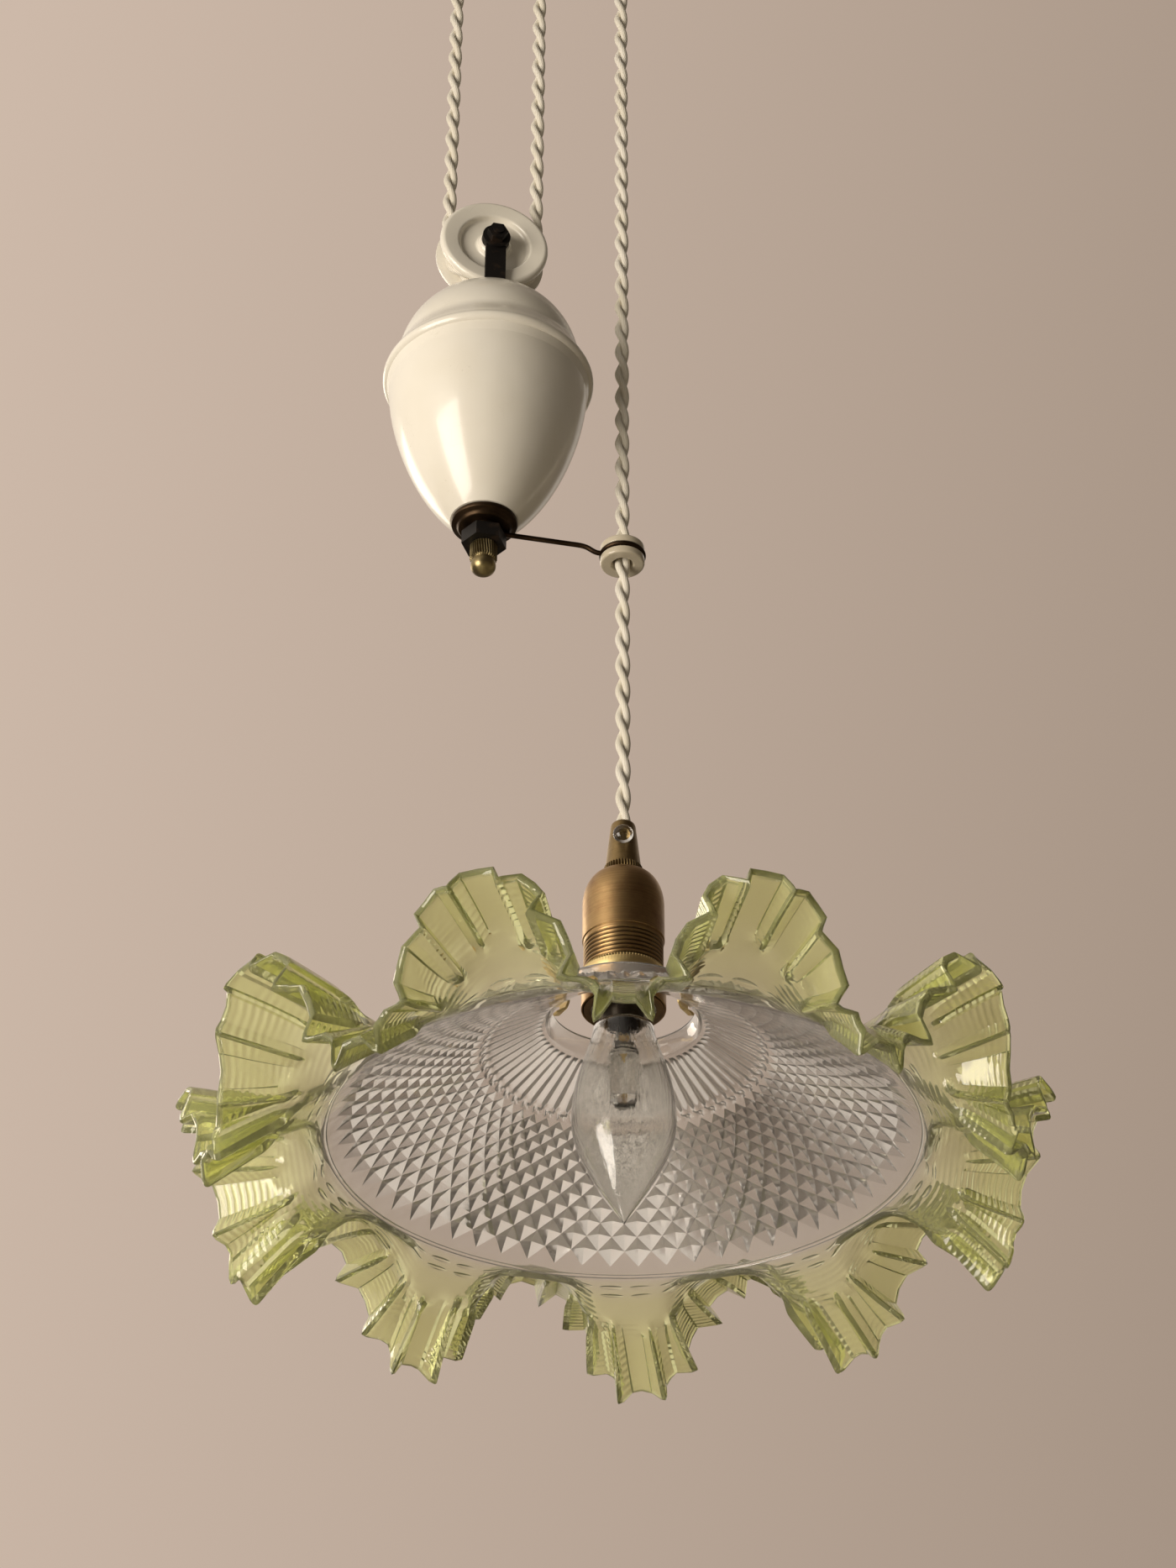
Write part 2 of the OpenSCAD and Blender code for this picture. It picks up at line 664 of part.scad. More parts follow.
// Flat eye on the rod, a wire that steps down clear of the bobbin, and a ring in its groove
module guide_arm() {
    wire_r = arm_wire_d / 2;
    bar_r = wire_r - bend_swell;
    low_x = arm_reach - bobbin_d / 2 - arm_wire_d;
    bend_x = low_x - arm_ramp;
    ramp_l = norm([arm_ramp, arm_drop]);
    color(bronze) at_seat() union() {
        ring(arm_eye_d / 2, rod_hole_r, eye_z, arm_wire_d);
        translate([arm_eye_d / 2 - 1, 0, arm_z]) rotate([0, 90, 0])
            cylinder(r = bar_r, h = bend_x - arm_eye_d / 2 + 1);
        translate([bend_x, 0, arm_z]) sphere(r = wire_r);
        translate([bend_x, 0, arm_z]) rotate([0, 90 + atan(arm_drop / arm_ramp), 0])
            cylinder(r = bar_r, h = ramp_l);
        translate([low_x, 0, ring_z]) sphere(r = wire_r);
        translate([low_x, 0, ring_z]) rotate([0, 90, 0]) cylinder(r = bar_r, h = arm_reach - ring_r - low_x);
        translate([arm_reach, 0, ring_z]) rotate_extrude() translate([ring_r, 0]) circle(r = wire_r);
    }
}

module tie_nut() { color(iron) at_seat() hex_nut(tie_nut_d / 2, rod_hole_r, tie_nut_z, tie_nut_h); }

module acorn_nut() {
    r = acorn_d / 2;
    band_z = tie_nut_z - acorn_band_h;
    color(bronze) at_seat() difference() {
        rotate_extrude() polygon(concat(
            [[0, tie_nut_z], [r, tie_nut_z], [r, band_z], [r - 0.9, band_z - 1]],
            curve([r - 0.5, band_z - 2], [r, band_z - 5], [r * 0.7, acorn_z + 0.6], [0, acorn_z], 10)));
        translate([0, 0, rod_end_z - 0.5]) cylinder(r = rod_hole_r, h = acorn_h);
    }
}

module guide_bobbin() {
    r = bobbin_d / 2;
    throat_r = cord_r + throat_clearance;
    half_groove = arm_wire_d / 2 + groove_clearance;
    color(porcelain) at_seat() translate([arm_reach, 0, ring_z]) rotate_extrude() polygon([
        [throat_r, -bobbin_h / 2 + 2], [throat_r + bobbin_flare, -bobbin_h / 2],
        [r - 0.8, -bobbin_h / 2], [r, -bobbin_h / 2 + 0.8], [r, -half_groove],
        [bobbin_groove_d / 2, -half_groove], [bobbin_groove_d / 2, half_groove], [r, half_groove],
        [r, bobbin_h / 2 - 0.8], [r - 0.8, bobbin_h / 2],
        [throat_r + bobbin_flare, bobbin_h / 2], [throat_r, bobbin_h / 2 - 2]]);
}

// Lamp

// Cone with a base band, a threaded nipple below, and a tapped hole at the front
module cord_grip() {
    nipple_l = holder_cap_wall + grip_nut_h + 0.6;
    bore_r = cord_r + cord_clearance;
    color(bronze) at_bead() difference() {
        rotate_extrude() polygon([
            [bore_r, grip_z - nipple_l], [nipple_d / 2, grip_z - nipple_l], [nipple_d / 2, grip_z],
            [grip_base_d / 2, grip_z], [grip_base_d / 2, grip_z + grip_band_h],
            [grip_base_d / 2 - 0.6, grip_z + grip_band_h + 0.5],
            [grip_top_d / 2, grip_top_z - 0.8], [grip_top_d / 2 - 0.5, grip_top_z], [bore_r, grip_top_z]]);
        rotate([0, 0, front_angle]) translate([bore_r - 1, 0, grip_z + grip_screw_h]) rotate([0, 90, 0])
            cylinder(r = grip_screw_d / 2 + screw_clearance, h = grip_base_d);
    }
}

module grip_screw() {
    seat = grip_base_d / 2 - 0.4;
    color([0.9, 0.95, 0.95, 0.6]) at_bead() rotate([0, 0, front_angle])
        translate([0, 0, grip_z + grip_screw_h]) rotate([0, 90, 0]) union() {
            translate([0, 0, gland_bore_r]) cylinder(d = grip_screw_d, h = seat - gland_bore_r);
            translate([0, 0, seat]) cylinder(d = grip_head_d, h = grip_head_l);
        }
}

module grip_nut() {
    color("silver") at_bead() ring(grip_nut_d / 2, nipple_d / 2 + screw_clearance,
        grip_z - holder_cap_wall - grip_nut_h, grip_nut_h);
}

module lampholder_cap() {
    r = holder_cap_d / 2;
    in_r = r - holder_cap_wall;
    shoulder = holder_cap_z + holder_cap_wall_h;
    top_in = grip_z - holder_cap_wall;
    color(bronze) at_bead() rotate_extrude() polygon(concat(
        [[in_r, holder_cap_z]],
        curve([r, holder_cap_z], [r, holder_cap_z + 3], [r, shoulder - 3], [r, shoulder], 1),
        curve([r, shoulder], [r, shoulder + 7.4], [holder_cap_top_r + 4, grip_z - 1.4], [holder_cap_top_r, grip_z], 10),
        [[nipple_d / 2 + screw_clearance, grip_z], [nipple_d / 2 + screw_clearance, top_in]],
        curve([holder_cap_top_r - 1, top_in], [holder_cap_top_r + 3, top_in - 1.4],
            [in_r, shoulder + 6.4], [in_r, shoulder - 1], 10)));
}

module lampholder_skirt() {
    color(bronze) at_bead() rotate_extrude() polygon([
        [skirt_bore_r - 1.4, skirt_bottom_z], [skirt_r, skirt_bottom_z], [skirt_r, holder_cap_z],
        [skirt_neck_r, holder_cap_z], [skirt_neck_r, holder_cap_z + skirt_neck_h],
        [skirt_bore_r - 0.7, holder_cap_z + skirt_neck_h], [skirt_bore_r - 0.7, insulator_top + 0.3],
        [skirt_bore_r, insulator_top + 0.3], [skirt_bore_r, insulator_z],
        [skirt_bore_r - 1.4, insulator_z]]);
}

module shade_ring() {
    color(brass) at_bead() ring(shade_ring_d / 2, skirt_r + screw_clearance, shade_ring_z, shade_ring_h);
}

module lower_ring() {
    color(bronze) at_bead() ring(lower_ring_d / 2, skirt_r + screw_clearance, holder_h, lower_ring_h);
}

// Disc clamped between the two rings, with three spring arms that hook under the glass neck
module shade_claw() {
    stand = neck_r - 2;
    hook = claw_clearance + claw_arm_t / 2;
    hook_start = [neck_r - 1.2, neck_h - hook * 1.4];
    path = [[skirt_r + 0.6, claw_z + claw_t - claw_arm_t / 2], [stand - 4, claw_z - 0.5],
        [stand, claw_z - 7], [stand, neck_h + 1.5], hook_start,
        hook_start + hook_reach * [cos(flute_a), -sin(flute_a)]];
    color(brass) at_bead() union() {
        ring(lower_ring_d / 2, skirt_r + screw_clearance, claw_z, claw_t);
        for (a = [0, 120, 240]) rotate([0, 0, front_angle + 180 + a]) intersection() {
            rotate([90, 0, 0]) translate([0, 0, -claw_arm_w / 2]) linear_extrude(claw_arm_w)
                polygon(strip(path, claw_arm_t));
            linear_extrude(claw_z + claw_t + overcut) polygon([
                [skirt_r, -claw_arm_w / 2], [stand, -claw_arm_w / 2], [stand + 5, -0.6],
                [stand + 5, 0.6], [stand, claw_arm_w / 2], [skirt_r, claw_arm_w / 2]]);
        }
    }
}

module socket_insulator() {
    color("ivory") at_bead() ring(insulator_r, cavity_d / 2, insulator_z, cavity_h);
    color("ivory") at_bead() translate([0, 0, cavity_top]) cylinder(r = insulator_r, h = insulator_top - cavity_top);
}

module screw_shell() {
    color(brass) at_bead() ring(shell_bore / 2 + shell_wall, shell_bore / 2, insulator_z + 0.5, cavity_h - 3);
}

module contact_tongue() {
    color(brass) at_bead() union() {
        translate([-4, -1.5, cavity_top - tongue_t]) cube([8, 3, tongue_t]);
        translate([0, 0, cavity_top - tongue_t - tongue_drop]) cylinder(d = 3, h = tongue_drop);
    }
}

module lamp_terminals() {
    color(brass) at_bead() for (s = [-1, 1])
        translate([-2, s * 7.5 - 2, insulator_top]) cube([4, 4, terminal_h]);
}

// Bulb

module bulb_cap() {
    r = bulb_cap_d / 2;
    color("silver") at_bead() rotate_extrude() polygon([
        [r, bulb_cap_z], [r, bulb_cap_top - 5], [4.5, bulb_cap_top - 1.8], [2.3, bulb_cap_top - 1.6],
        [2.3, bulb_cap_top], [0, bulb_cap_top], [0, bulb_cap_top - 4],
        [r - 0.5, bulb_cap_top - 5.6], [r - 0.5, bulb_cap_z]]);
}

// Outline of the glass, in by d from its outer face
function bulb_side(d) =
    let (top = bulb_cap_z, neck = bulb_neck_d / 2 - d, mid = bulb_d / 2 - d, tip = d - bulb_tip_drop)
    concat(
        [[bulb_cap_d / 2 - 0.1 - d, top]],
        curve([bulb_cap_d / 2 - 0.1 - d, top - 0.6], [bulb_cap_d / 2 + 2 - d, top - 1],
            [neck, top - 1.6], [neck, top - 3 - d], 5),
        curve([neck + 0.3, top - 5], [neck + 3, top - 15], [mid, bulb_mid_h + 12], [mid, bulb_mid_h], 10),
        curve([mid, bulb_mid_h - 2], [mid, bulb_mid_h - 16], [3.4, tip + 7], [0, tip], 12));

module bulb_glass() {
    color([0.9, 0.93, 0.93, 0.4]) at_bead() rotate_extrude()
        polygon(concat(bulb_side(0), reversed(bulb_side(bulb_wall))));
}

module bulb_capsule() {
    r = capsule_d / 2;
    top = bulb_mid_h + 3.4 + capsule_l;
    color([0.8, 0.85, 0.85, 0.5]) at_bead() rotate_extrude() polygon(concat(
        [[0, top], [r - 1, top], [r, top - 1]],
        [[r, top - capsule_l + r]],
        arc(0, top - capsule_l + r, r, 0, -90, 6)));
}

// Pinch on the capsule and two wires that rise to the cap, which carries them
module bulb_supports() {
    top = bulb_mid_h + 3.4 + capsule_l;
    wire_top = bulb_cap_top - 4.7 - contact_gap;
    color("gray") at_bead() union() {
        translate([-3.4, -1, top]) cube([6.8, 2, 3]);
        for (x = [-2.2, 2.2]) translate([x, 0, top + 2]) cylinder(d = 1, h = wire_top - top - 2);
    }
}

// Shade

// Point of the cone's outer face at radius r, raised by h above the glass
function cone_point(r, h, a) =
    let (t = glass_t + h, out = r + t * sin(cone_a), z = flute_h * (bead_r - r) / (bead_r - flute_r) + t * cos(cone_a))
    [out * cos(a), out * sin(a), z];

// Wave of the rim at angle b from the front, one at its hollows and minus one at its crests
function wave(b) =
    let (c = cos(waves * b))
    c * sqrt(1 + wave_roundness) / sqrt(c * c + wave_roundness);

// Skirt without its crimps, where u goes from the bead line to the rim
function skirt_point(b, u) =
    let (w = wave(b),
        a = front_angle + b - frill_lean * (1 - cos(b)) * u,
        off = frill_offset * cos(a - frill_offset_a),
        p = [bead_r, 0],
        q = p + skirt_knee * [cos(cone_a), -sin(cone_a)],
        s = [frill_r - frill_r_swing * w + off, frill_z - frill_z_swing * w],
        m = (1 - u) * (1 - u) * p + 2 * u * (1 - u) * q + u * u * s)
    [m[0] * cos(a), m[0] * sin(a), m[1]];

// Direction of the skirt's upper face
function skirt_normal(b, u) =
    let (db = skirt_point(b + 0.5, u) - skirt_point(b - 0.5, u),
        du = skirt_point(b, u + 0.01) - skirt_point(b, u - 0.01),
        n = cross(du, db))
    n / norm(n);

// One on the ridge of a crimp and zero on the panel between two ridges
function ridge(b) =
    1 / (1 + exp(-2 * ridge_steepness * (cos(cells * b + 180) - cos(180 * ridge_share))));

// Depth of the crimps, which starts at their inner end and is whole at the rim
function crimp(u) =
    let (g = min(1, max(0, (u - crimp_start) / crimp_run)))
    crimp_depth * g * g * (3 - 2 * g) * (crimp_inner + (1 - crimp_inner) * u);

// Point of the skirt, t above its lower face. The ridges stand out below and past the rim.
function frill_point(b, u, t) =
    let (r = ridge(b), d = crimp(u), v = u * (1 + ridge_tip * (r - ridge_share) * u * d / crimp_depth))
    skirt_point(b, v) + (t + d / 2 - d * r) * skirt_normal(b, v);

function circle_of(r, z, n) = [for (i = [0:n - 1]) let (a = front_angle + i * 360 / n) [r * cos(a), r * sin(a), z]];

// Triangles between a ring of few points that starts at f and a ring of many that starts at g
function fan(f, few, g, many) =
    let (m = many / few)
    [for (i = [0:few - 1]) let (j = (i + 1) % few, b = m * i)
        each concat([[f + i, f + j, g + b + m / 2]],
            [for (k = [0:m - 1]) [k < m / 2 ? f + i : f + j, g + (b + k + 1) % many, g + b + k]])];
function flipped(triangles) = [for (t = triangles) [t[0], t[2], t[1]]];

module shade_glass() {
    in_rings = [
        circle_of(neck_r - 0.5, neck_h + neck_len, cols), circle_of(neck_r, neck_h, cols),
        circle_of(flute_r, flute_h, cols), circle_of(bead_r, 0, cols)];
    fine_in = [for (u = frill_steps) [for (i = [0:fine - 1]) frill_point(i * 360 / fine, u, 0)]];
    fine_out = [for (u = reversed(frill_steps))
        [for (i = [0:fine - 1]) frill_point(i * 360 / fine, u, glass_t)]];
    // From the bead line in: plain band, rows of diamonds, flutes and neck
    rows = [for (j = [diamond_rows:-1:0]) flute_r * pow(band_r / flute_r, j / diamond_rows)];
    band = [[for (i = [0:cols - 1]) cone_point(bead_r, 0, front_angle + i * 360 / cols)]];
    diamonds = [for (j = [0:diamond_rows]) [for (i = [0:cols - 1])
        cone_point(rows[j], (j > 0 && j < diamond_rows && (i + j) % 2 == 0) ? diamond_h * rows[j] / band_r : 0,
            front_angle + i * 360 / cols)]];
    neck_out = neck_r + glass_t;
    fluted = [[for (i = [0:cols - 1]) let (a = front_angle + i * 360 / cols, h = (i % 2) * flute_rib_h)
        [(neck_out + 1) * cos(a), (neck_out + 1) * sin(a), neck_h + glass_t * 0.7 + h]]];
    top_rings = [circle_of(neck_out, neck_h + neck_len, cols)];
    rings = concat(in_rings, fine_in, fine_out, band, diamonds, fluted, top_rings);
    count = len(rings);
    sizes = [for (r = rings) len(r)];
    starts = [for (k = 0, s = 0; k < count; s = s + sizes[k], k = k + 1) s];
    first_diamond = len(in_rings) + len(fine_in) + len(fine_out) + len(band);
    faces = [for (k = [0:count - 1]) let (
            m = (k + 1) % count, n = sizes[k], o = sizes[m], p = starts[k], q = starts[m],
            d = k - first_diamond)
        each n == o
            ? [for (i = [0:n - 1]) let (j = (i + 1) % n)
                // The grooves run along the diagonal between two low corners
                each (d >= 0 && d < diamond_rows && (i + d) % 2 == 0)
                    ? [[p + i, p + j, q + i], [p + j, q + j, q + i]]
                    : [[p + i, p + j, q + j], [p + i, q + j, q + i]]]
            : n < o ? fan(p, n, q, o) : flipped(fan(q, o, p, n))];
    color([0.78, 0.8, 0.55, 0.7]) at_bead() polyhedron([for (r = rings) each r], flipped(faces));
}

ceiling_plate();
hanger_stud();
canopy();
canopy_nut();
hanger_strap();
hanger_nut();
top_pulley();
top_axle();
top_axle_washer();
top_axle_nut();
cord_gland();
gland_nut();
terminal_block();
cord_tail();
cord_fixed_run();
cord_weight_loop();
cord_middle_run();
cord_top_loop();
cord_lamp_run();
weight_strap();
weight_pulley();
weight_axle();
weight_axle_washer();
weight_axle_nut();
weight_cap();
weight_pot();
weight_ballast();
tie_rod();
cup_washer();
guide_arm();
tie_nut();
acorn_nut();
guide_bobbin();
cord_grip();
grip_screw();
grip_nut();
lampholder_cap();
lampholder_skirt();
shade_ring();
shade_claw();
lower_ring();
socket_insulator();
screw_shell();
contact_tongue();
lamp_terminals();
lamp_cord_end();
bulb_cap();
bulb_glass();
bulb_capsule();
bulb_supports();
shade_glass();
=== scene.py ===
"""Adjustable pendant light with a porcelain counterweight and a pressed, crimped glass shade.

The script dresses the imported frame. Round parts are profiles turned about an axis, the cord is two
strands wound about the runs of the frame, and the shade is one closed surface of pressed and crimped
glass. Sizes are in millimetres in the classes and become metres when a mesh is made.
"""
import logging
import math
from collections.abc import Callable
from dataclasses import dataclass, field
from enum import Enum
from functools import partial

import bpy
import numpy as np
from mathutils import Matrix, Vector


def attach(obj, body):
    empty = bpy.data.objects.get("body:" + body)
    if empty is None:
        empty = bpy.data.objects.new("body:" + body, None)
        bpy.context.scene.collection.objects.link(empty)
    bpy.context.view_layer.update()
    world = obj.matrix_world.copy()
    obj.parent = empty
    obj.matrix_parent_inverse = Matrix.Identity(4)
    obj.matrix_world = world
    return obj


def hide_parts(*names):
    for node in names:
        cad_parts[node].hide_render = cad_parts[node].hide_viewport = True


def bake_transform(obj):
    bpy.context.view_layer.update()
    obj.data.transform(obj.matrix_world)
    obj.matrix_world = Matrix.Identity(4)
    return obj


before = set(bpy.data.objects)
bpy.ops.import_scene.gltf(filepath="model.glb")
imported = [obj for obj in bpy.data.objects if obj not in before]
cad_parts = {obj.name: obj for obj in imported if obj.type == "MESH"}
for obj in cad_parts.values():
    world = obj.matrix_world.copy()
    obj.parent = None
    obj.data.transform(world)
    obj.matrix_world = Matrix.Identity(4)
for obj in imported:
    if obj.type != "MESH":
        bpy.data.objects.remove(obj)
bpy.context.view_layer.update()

LOG = logging.getLogger("pendant")

Array = np.ndarray
Point = tuple[float, float, float]
Adder = Callable[..., bpy.types.Node]
Step = tuple[str, float, float, float, float]

MM = 0.001
SAME_POINT = 1e-6
LAMP_AXIS = (35.0, 0.0)
WEIGHT_AXIS = (-17.5, 0.0)
BEAD_LEVEL = -670.0
SEAT_LEVEL = -305.0
TOP_WHEEL_LEVEL = -72.0
WEIGHT_WHEEL_LEVEL = -277.5
WHEEL_CORD_R = 17.5
FRONT_ANGLE = -103.0
# How little a drawn or turned streak changes along its own length
STREAK_RUN = 0.03
# A wave texture of scale one repeats after about this length
WAVE_RUN = 0.314


class Body(Enum):
    """Bodies of the frame that the pieces ride on."""

    CEILING = "ceiling"
    TOP_PULLEY = "top_pulley"
    WEIGHT = "counterweight"
    WEIGHT_PULLEY = "weight_pulley"
    LAMP = "lamp"


class Slot(Enum):
    """Names of the record's material slots for new pieces, passed along but not used."""

    PORCELAIN = "white_porcelain"
    AGED_BRASS = "aged_brass"
    BRIGHT_BRASS = "bright_brass"
    PLASTIC = "clear_plastic"
    BULB = "bulb_clear_glass"
    SHADE = "pressed_glass"
    CORD = "cloth_flex"


class Axis(Enum):
    """Axis that a turned piece is made about."""

    UPRIGHT = "z"
    AXLE = "y"


# ---------------------------------------------------------------------------------------------------
# Outlines and surfaces


def around(steps: int) -> Array:
    """Angles of one turn in equal steps, without the last, which is the first again."""
    return np.linspace(0, 2 * np.pi, steps, endpoint=False)


def arc(x: float, y: float, radius: float, start: float, end: float, steps: int) -> Array:
    """Points (x, y) + radius (cos t, sin t), with t from start to end in degrees."""
    turn = np.radians(np.linspace(start, end, steps + 1))
    return np.stack([x + radius * np.cos(turn), y + radius * np.sin(turn)], 1)


def bezier(points: list, steps: int) -> Array:
    """Cubic curve: (1-t)^3 p0 + 3t(1-t)^2 p1 + 3t^2(1-t) p2 + t^3 p3, from four points."""
    t, p = np.linspace(0, 1, steps + 1)[:, None], np.array(points, float)
    return (1 - t) ** 3 * p[0] + 3 * t * (1 - t) ** 2 * p[1] + 3 * t**2 * (1 - t) * p[2] + t**3 * p[3]


def outline(*pieces: object) -> Array:
    """Join points and arrays of points into one outline."""
    return np.concatenate([np.atleast_2d(np.asarray(p, float)) for p in pieces])


def eased(g: Array) -> Array:
    """Soft start and stop between 0 and 1: 3g^2 - 2g^3."""
    return g * g * (3 - 2 * g)


def comb(angle: Array) -> Array:
    """Rounded teeth between 0 and 1: (1 - cos angle) / 2."""
    return 0.5 - 0.5 * np.cos(angle)


def travelled(path: Array) -> Array:
    """Distance of each point of a path from its start, along the path."""
    return np.concatenate([[0], np.cumsum(np.linalg.norm(np.diff(path, axis=0), axis=1))])


def softened(points: Array, radius: float, closed: bool = True) -> Array:
    """Round the corners of an outline: each corner becomes the curve (1-t)^2 a + 2t(1-t) p + t^2 b.

    Args:
        points: outline of n points.
        radius: distance from a corner to where its rounding starts, at most 0.4 of each side.
        closed: whether the last point joins the first.

    Returns:
        Array of five points a corner.
    """
    ends = np.ones((len(points), 1), bool)
    if not closed:
        ends[[0, -1]] = False
    near = []
    for shift in (1, -1):
        side = np.roll(points, shift, 0) - points
        length = np.maximum(np.linalg.norm(side, axis=1, keepdims=True), SAME_POINT)
        near.append((points + side / length * np.minimum(radius, 0.4 * length) * ends)[:, None])
    t = np.linspace(0, 1, 5)[None, :, None]
    corners = (1 - t) ** 2 * near[0] + 2 * t * (1 - t) * points[:, None] + t**2 * near[1]
    flat = corners.reshape(-1, 2)
    keep = np.ones(len(flat), bool)
    keep[1:] = np.linalg.norm(np.diff(flat, axis=0), axis=1) > SAME_POINT
    return flat[keep]


@dataclass
class Patch:
    """One closed surface given as a grid whose columns close on themselves.

    Args:
        grid: points in mm, rows by columns by 3. A row of equal points is a pole.
        loop: whether the last row joins the first.
        cross: which cells are cut along their other diagonal.
        uv: rows by columns + 1 by 2.
        tint: one value a point.
    """

    grid: Array
    loop: bool = False
    cross: Array | None = None
    uv: Array | None = None
    tint: Array | None = None

    def triangles(self) -> tuple[Array, Array]:
        """Cut every cell in two, leave out those that a pole makes empty, and turn them outwards.

        Returns:
            Corners as point numbers and as (row, column) places, both three to a triangle.
        """
        rows, cols, _ = self.grid.shape
        i, j = np.meshgrid(np.arange(rows if self.loop else rows - 1), np.arange(cols), indexing="ij")
        corners = np.stack([np.stack([i, j], -1), np.stack([i, j + 1], -1),
                            np.stack([i + 1, j + 1], -1), np.stack([i + 1, j], -1)], 2)
        main = corners[:, :, [[0, 1, 2], [0, 2, 3]]]
        if self.cross is not None:
            other = corners[:, :, [[0, 1, 3], [1, 2, 3]]]
            main = np.where(self.cross[: main.shape[0], :, None, None, None], other, main)
        places = main.reshape(-1, 3, 2)
        numbers = np.arange(rows * cols).reshape(rows, cols)
        for pole in (0, rows - 1):
            if not self.loop and np.ptp(self.grid[pole], axis=0).max() < SAME_POINT:
                numbers[pole] = numbers[pole, 0]
        ids = numbers[places[..., 0] % rows, places[..., 1] % cols]
        whole = (ids[:, 0] != ids[:, 1]) & (ids[:, 1] != ids[:, 2]) & (ids[:, 2] != ids[:, 0])
        ids, places = ids[whole], places[whole]
        p = self.grid.reshape(-1, 3)
        volume = np.einsum("ij,ij->", p[ids[:, 0]], np.cross(p[ids[:, 1]], p[ids[:, 2]]))
        if volume < 0:
            ids, places = ids[:, ::-1], places[:, ::-1]
        return ids, places


def make_piece(name: str, patches: list[Patch], sharp: float = 35.0) -> bpy.types.Object:
    """Make one object of closed surfaces, at the origin and in metres.

    Args:
        name: name of the piece.
        patches: its surfaces.
        sharp: angle in degrees above which an edge stays sharp.

    Returns:
        The object, linked to the scene.
    """
    points, corners, uvs, tints, start = [], [], [], [], 0
    for patch in patches:
        ids, places = patch.triangles()
        used, ids = np.unique(ids, return_inverse=True)
        points.append(patch.grid.reshape(-1, 3)[used])
        corners.append(ids.reshape(-1, 3) + start)
        start += len(used)
        flat = places.reshape(-1, 2)
        rows = patch.grid.shape[0]
        uvs.append(np.zeros((len(flat), 2)) if patch.uv is None else patch.uv[flat[:, 0] % rows, flat[:, 1]])
        tints.append(np.zeros(len(used)) if patch.tint is None else patch.tint.reshape(-1)[used])
    vertices = np.concatenate(points) * MM
    loops = np.concatenate(corners).astype(np.int32)
    mesh = bpy.data.meshes.new(name)
    mesh.vertices.add(len(vertices))
    mesh.vertices.foreach_set("co", vertices.astype(np.float32).ravel())
    mesh.loops.add(loops.size)
    mesh.loops.foreach_set("vertex_index", loops.ravel())
    mesh.polygons.add(len(loops))
    mesh.polygons.foreach_set("loop_start", np.arange(0, loops.size, 3, dtype=np.int32))
    mesh.update(calc_edges=True)
    if any(patch.uv is not None for patch in patches):
        layer = mesh.uv_layers.new(name="along")
        layer.data.foreach_set("uv", np.concatenate(uvs).astype(np.float32).ravel())
    if any(patch.tint is not None for patch in patches):
        shade = mesh.attributes.new("tint", "FLOAT", "POINT")
        shade.data.foreach_set("value", np.concatenate(tints).astype(np.float32))
    mesh.polygons.foreach_set("use_smooth", np.ones(len(loops), bool))
    mesh.set_sharp_from_angle(angle=math.radians(sharp))
    mesh.validate()
    made = bpy.data.objects.new(name, mesh)
    bpy.context.scene.collection.objects.link(made)
    return made


def turned(profile: Array, steps: int = 96, loop: bool = True, axis: Axis = Axis.UPRIGHT,
           centre: Point = (0.0, 0.0, 0.0), wave: Array | None = None, depth: float = 1.0) -> Patch:
    """Turn a profile about an axis: (r cos a, r sin a, z), with r changed by a table where one is given.

    Args:
        profile: radius and height of each point.
        steps: number of steps round the axis.
        loop: whether the profile is closed.
        axis: upright, or along the pulley's axle.
        centre: place of the profile's origin in mm.
        wave: change of radius, points by steps, such as for threads or knurling.
        depth: change of radius at which the tint attribute, minus wave over depth, is one.

    Returns:
        The surface.
    """
    a = around(steps)
    r = np.repeat(profile[:, :1], steps, 1) + (0 if wave is None else wave)
    z = np.repeat(profile[:, 1:], steps, 1)
    x, y = r * np.cos(a), r * np.sin(a)
    grid = np.stack([x, y, z] if axis is Axis.UPRIGHT else [x, z, y], -1)
    # Deeper in the wave is more tint, which the metal finishes paint as shade in grooves
    tint = None if wave is None else np.clip(-wave / depth, 0, 1)
    return Patch(grid + centre, loop=loop, tint=tint)


def swept(path: Array, radius: float, sides: int, phase: Array | None = None,
          closed: bool = False) -> Patch:
    """Carry a circle along a path: path + r (cos t e1 + sin t e2), where e1 and e2 stand across the path.

    Args:
        path: points in mm.
        radius: radius of the circle.
        sides: points round the circle.
        phase: directions that e1 starts from, one a point, or None for the Y axis.
        closed: whether the path is a ring. An open one gets a pole at each end.

    Returns:
        The surface, with a uv of mm round and mm along.
    """
    step = np.roll(path, -1, 0) - np.roll(path, 1, 0) if closed else np.gradient(path, axis=0)
    along = step / np.linalg.norm(step, axis=1, keepdims=True)
    e1 = np.tile([0.0, 1.0, 0.0], (len(path), 1)) if phase is None else phase
    e1 = e1 - np.sum(e1 * along, 1, keepdims=True) * along
    e1 /= np.linalg.norm(e1, axis=1, keepdims=True)
    e2 = np.cross(along, e1)
    t = around(sides)[None, :, None]
    grid = path[:, None] + radius * (np.cos(t) * e1[:, None] + np.sin(t) * e2[:, None])
    length = travelled(path)
    if not closed:
        first, last = (np.repeat(end, sides, 1) for end in (path[:1, None], path[-1:, None]))
        grid = np.concatenate([first, grid, last])
        length = np.concatenate([length[:1], length, length[-1:]])
    round_mm = np.linspace(0, 2 * np.pi * radius, sides + 1)
    return Patch(grid, loop=closed, uv=np.stack(np.broadcast_arrays(round_mm, length[:, None]), -1))


# ---------------------------------------------------------------------------------------------------
# Finishes


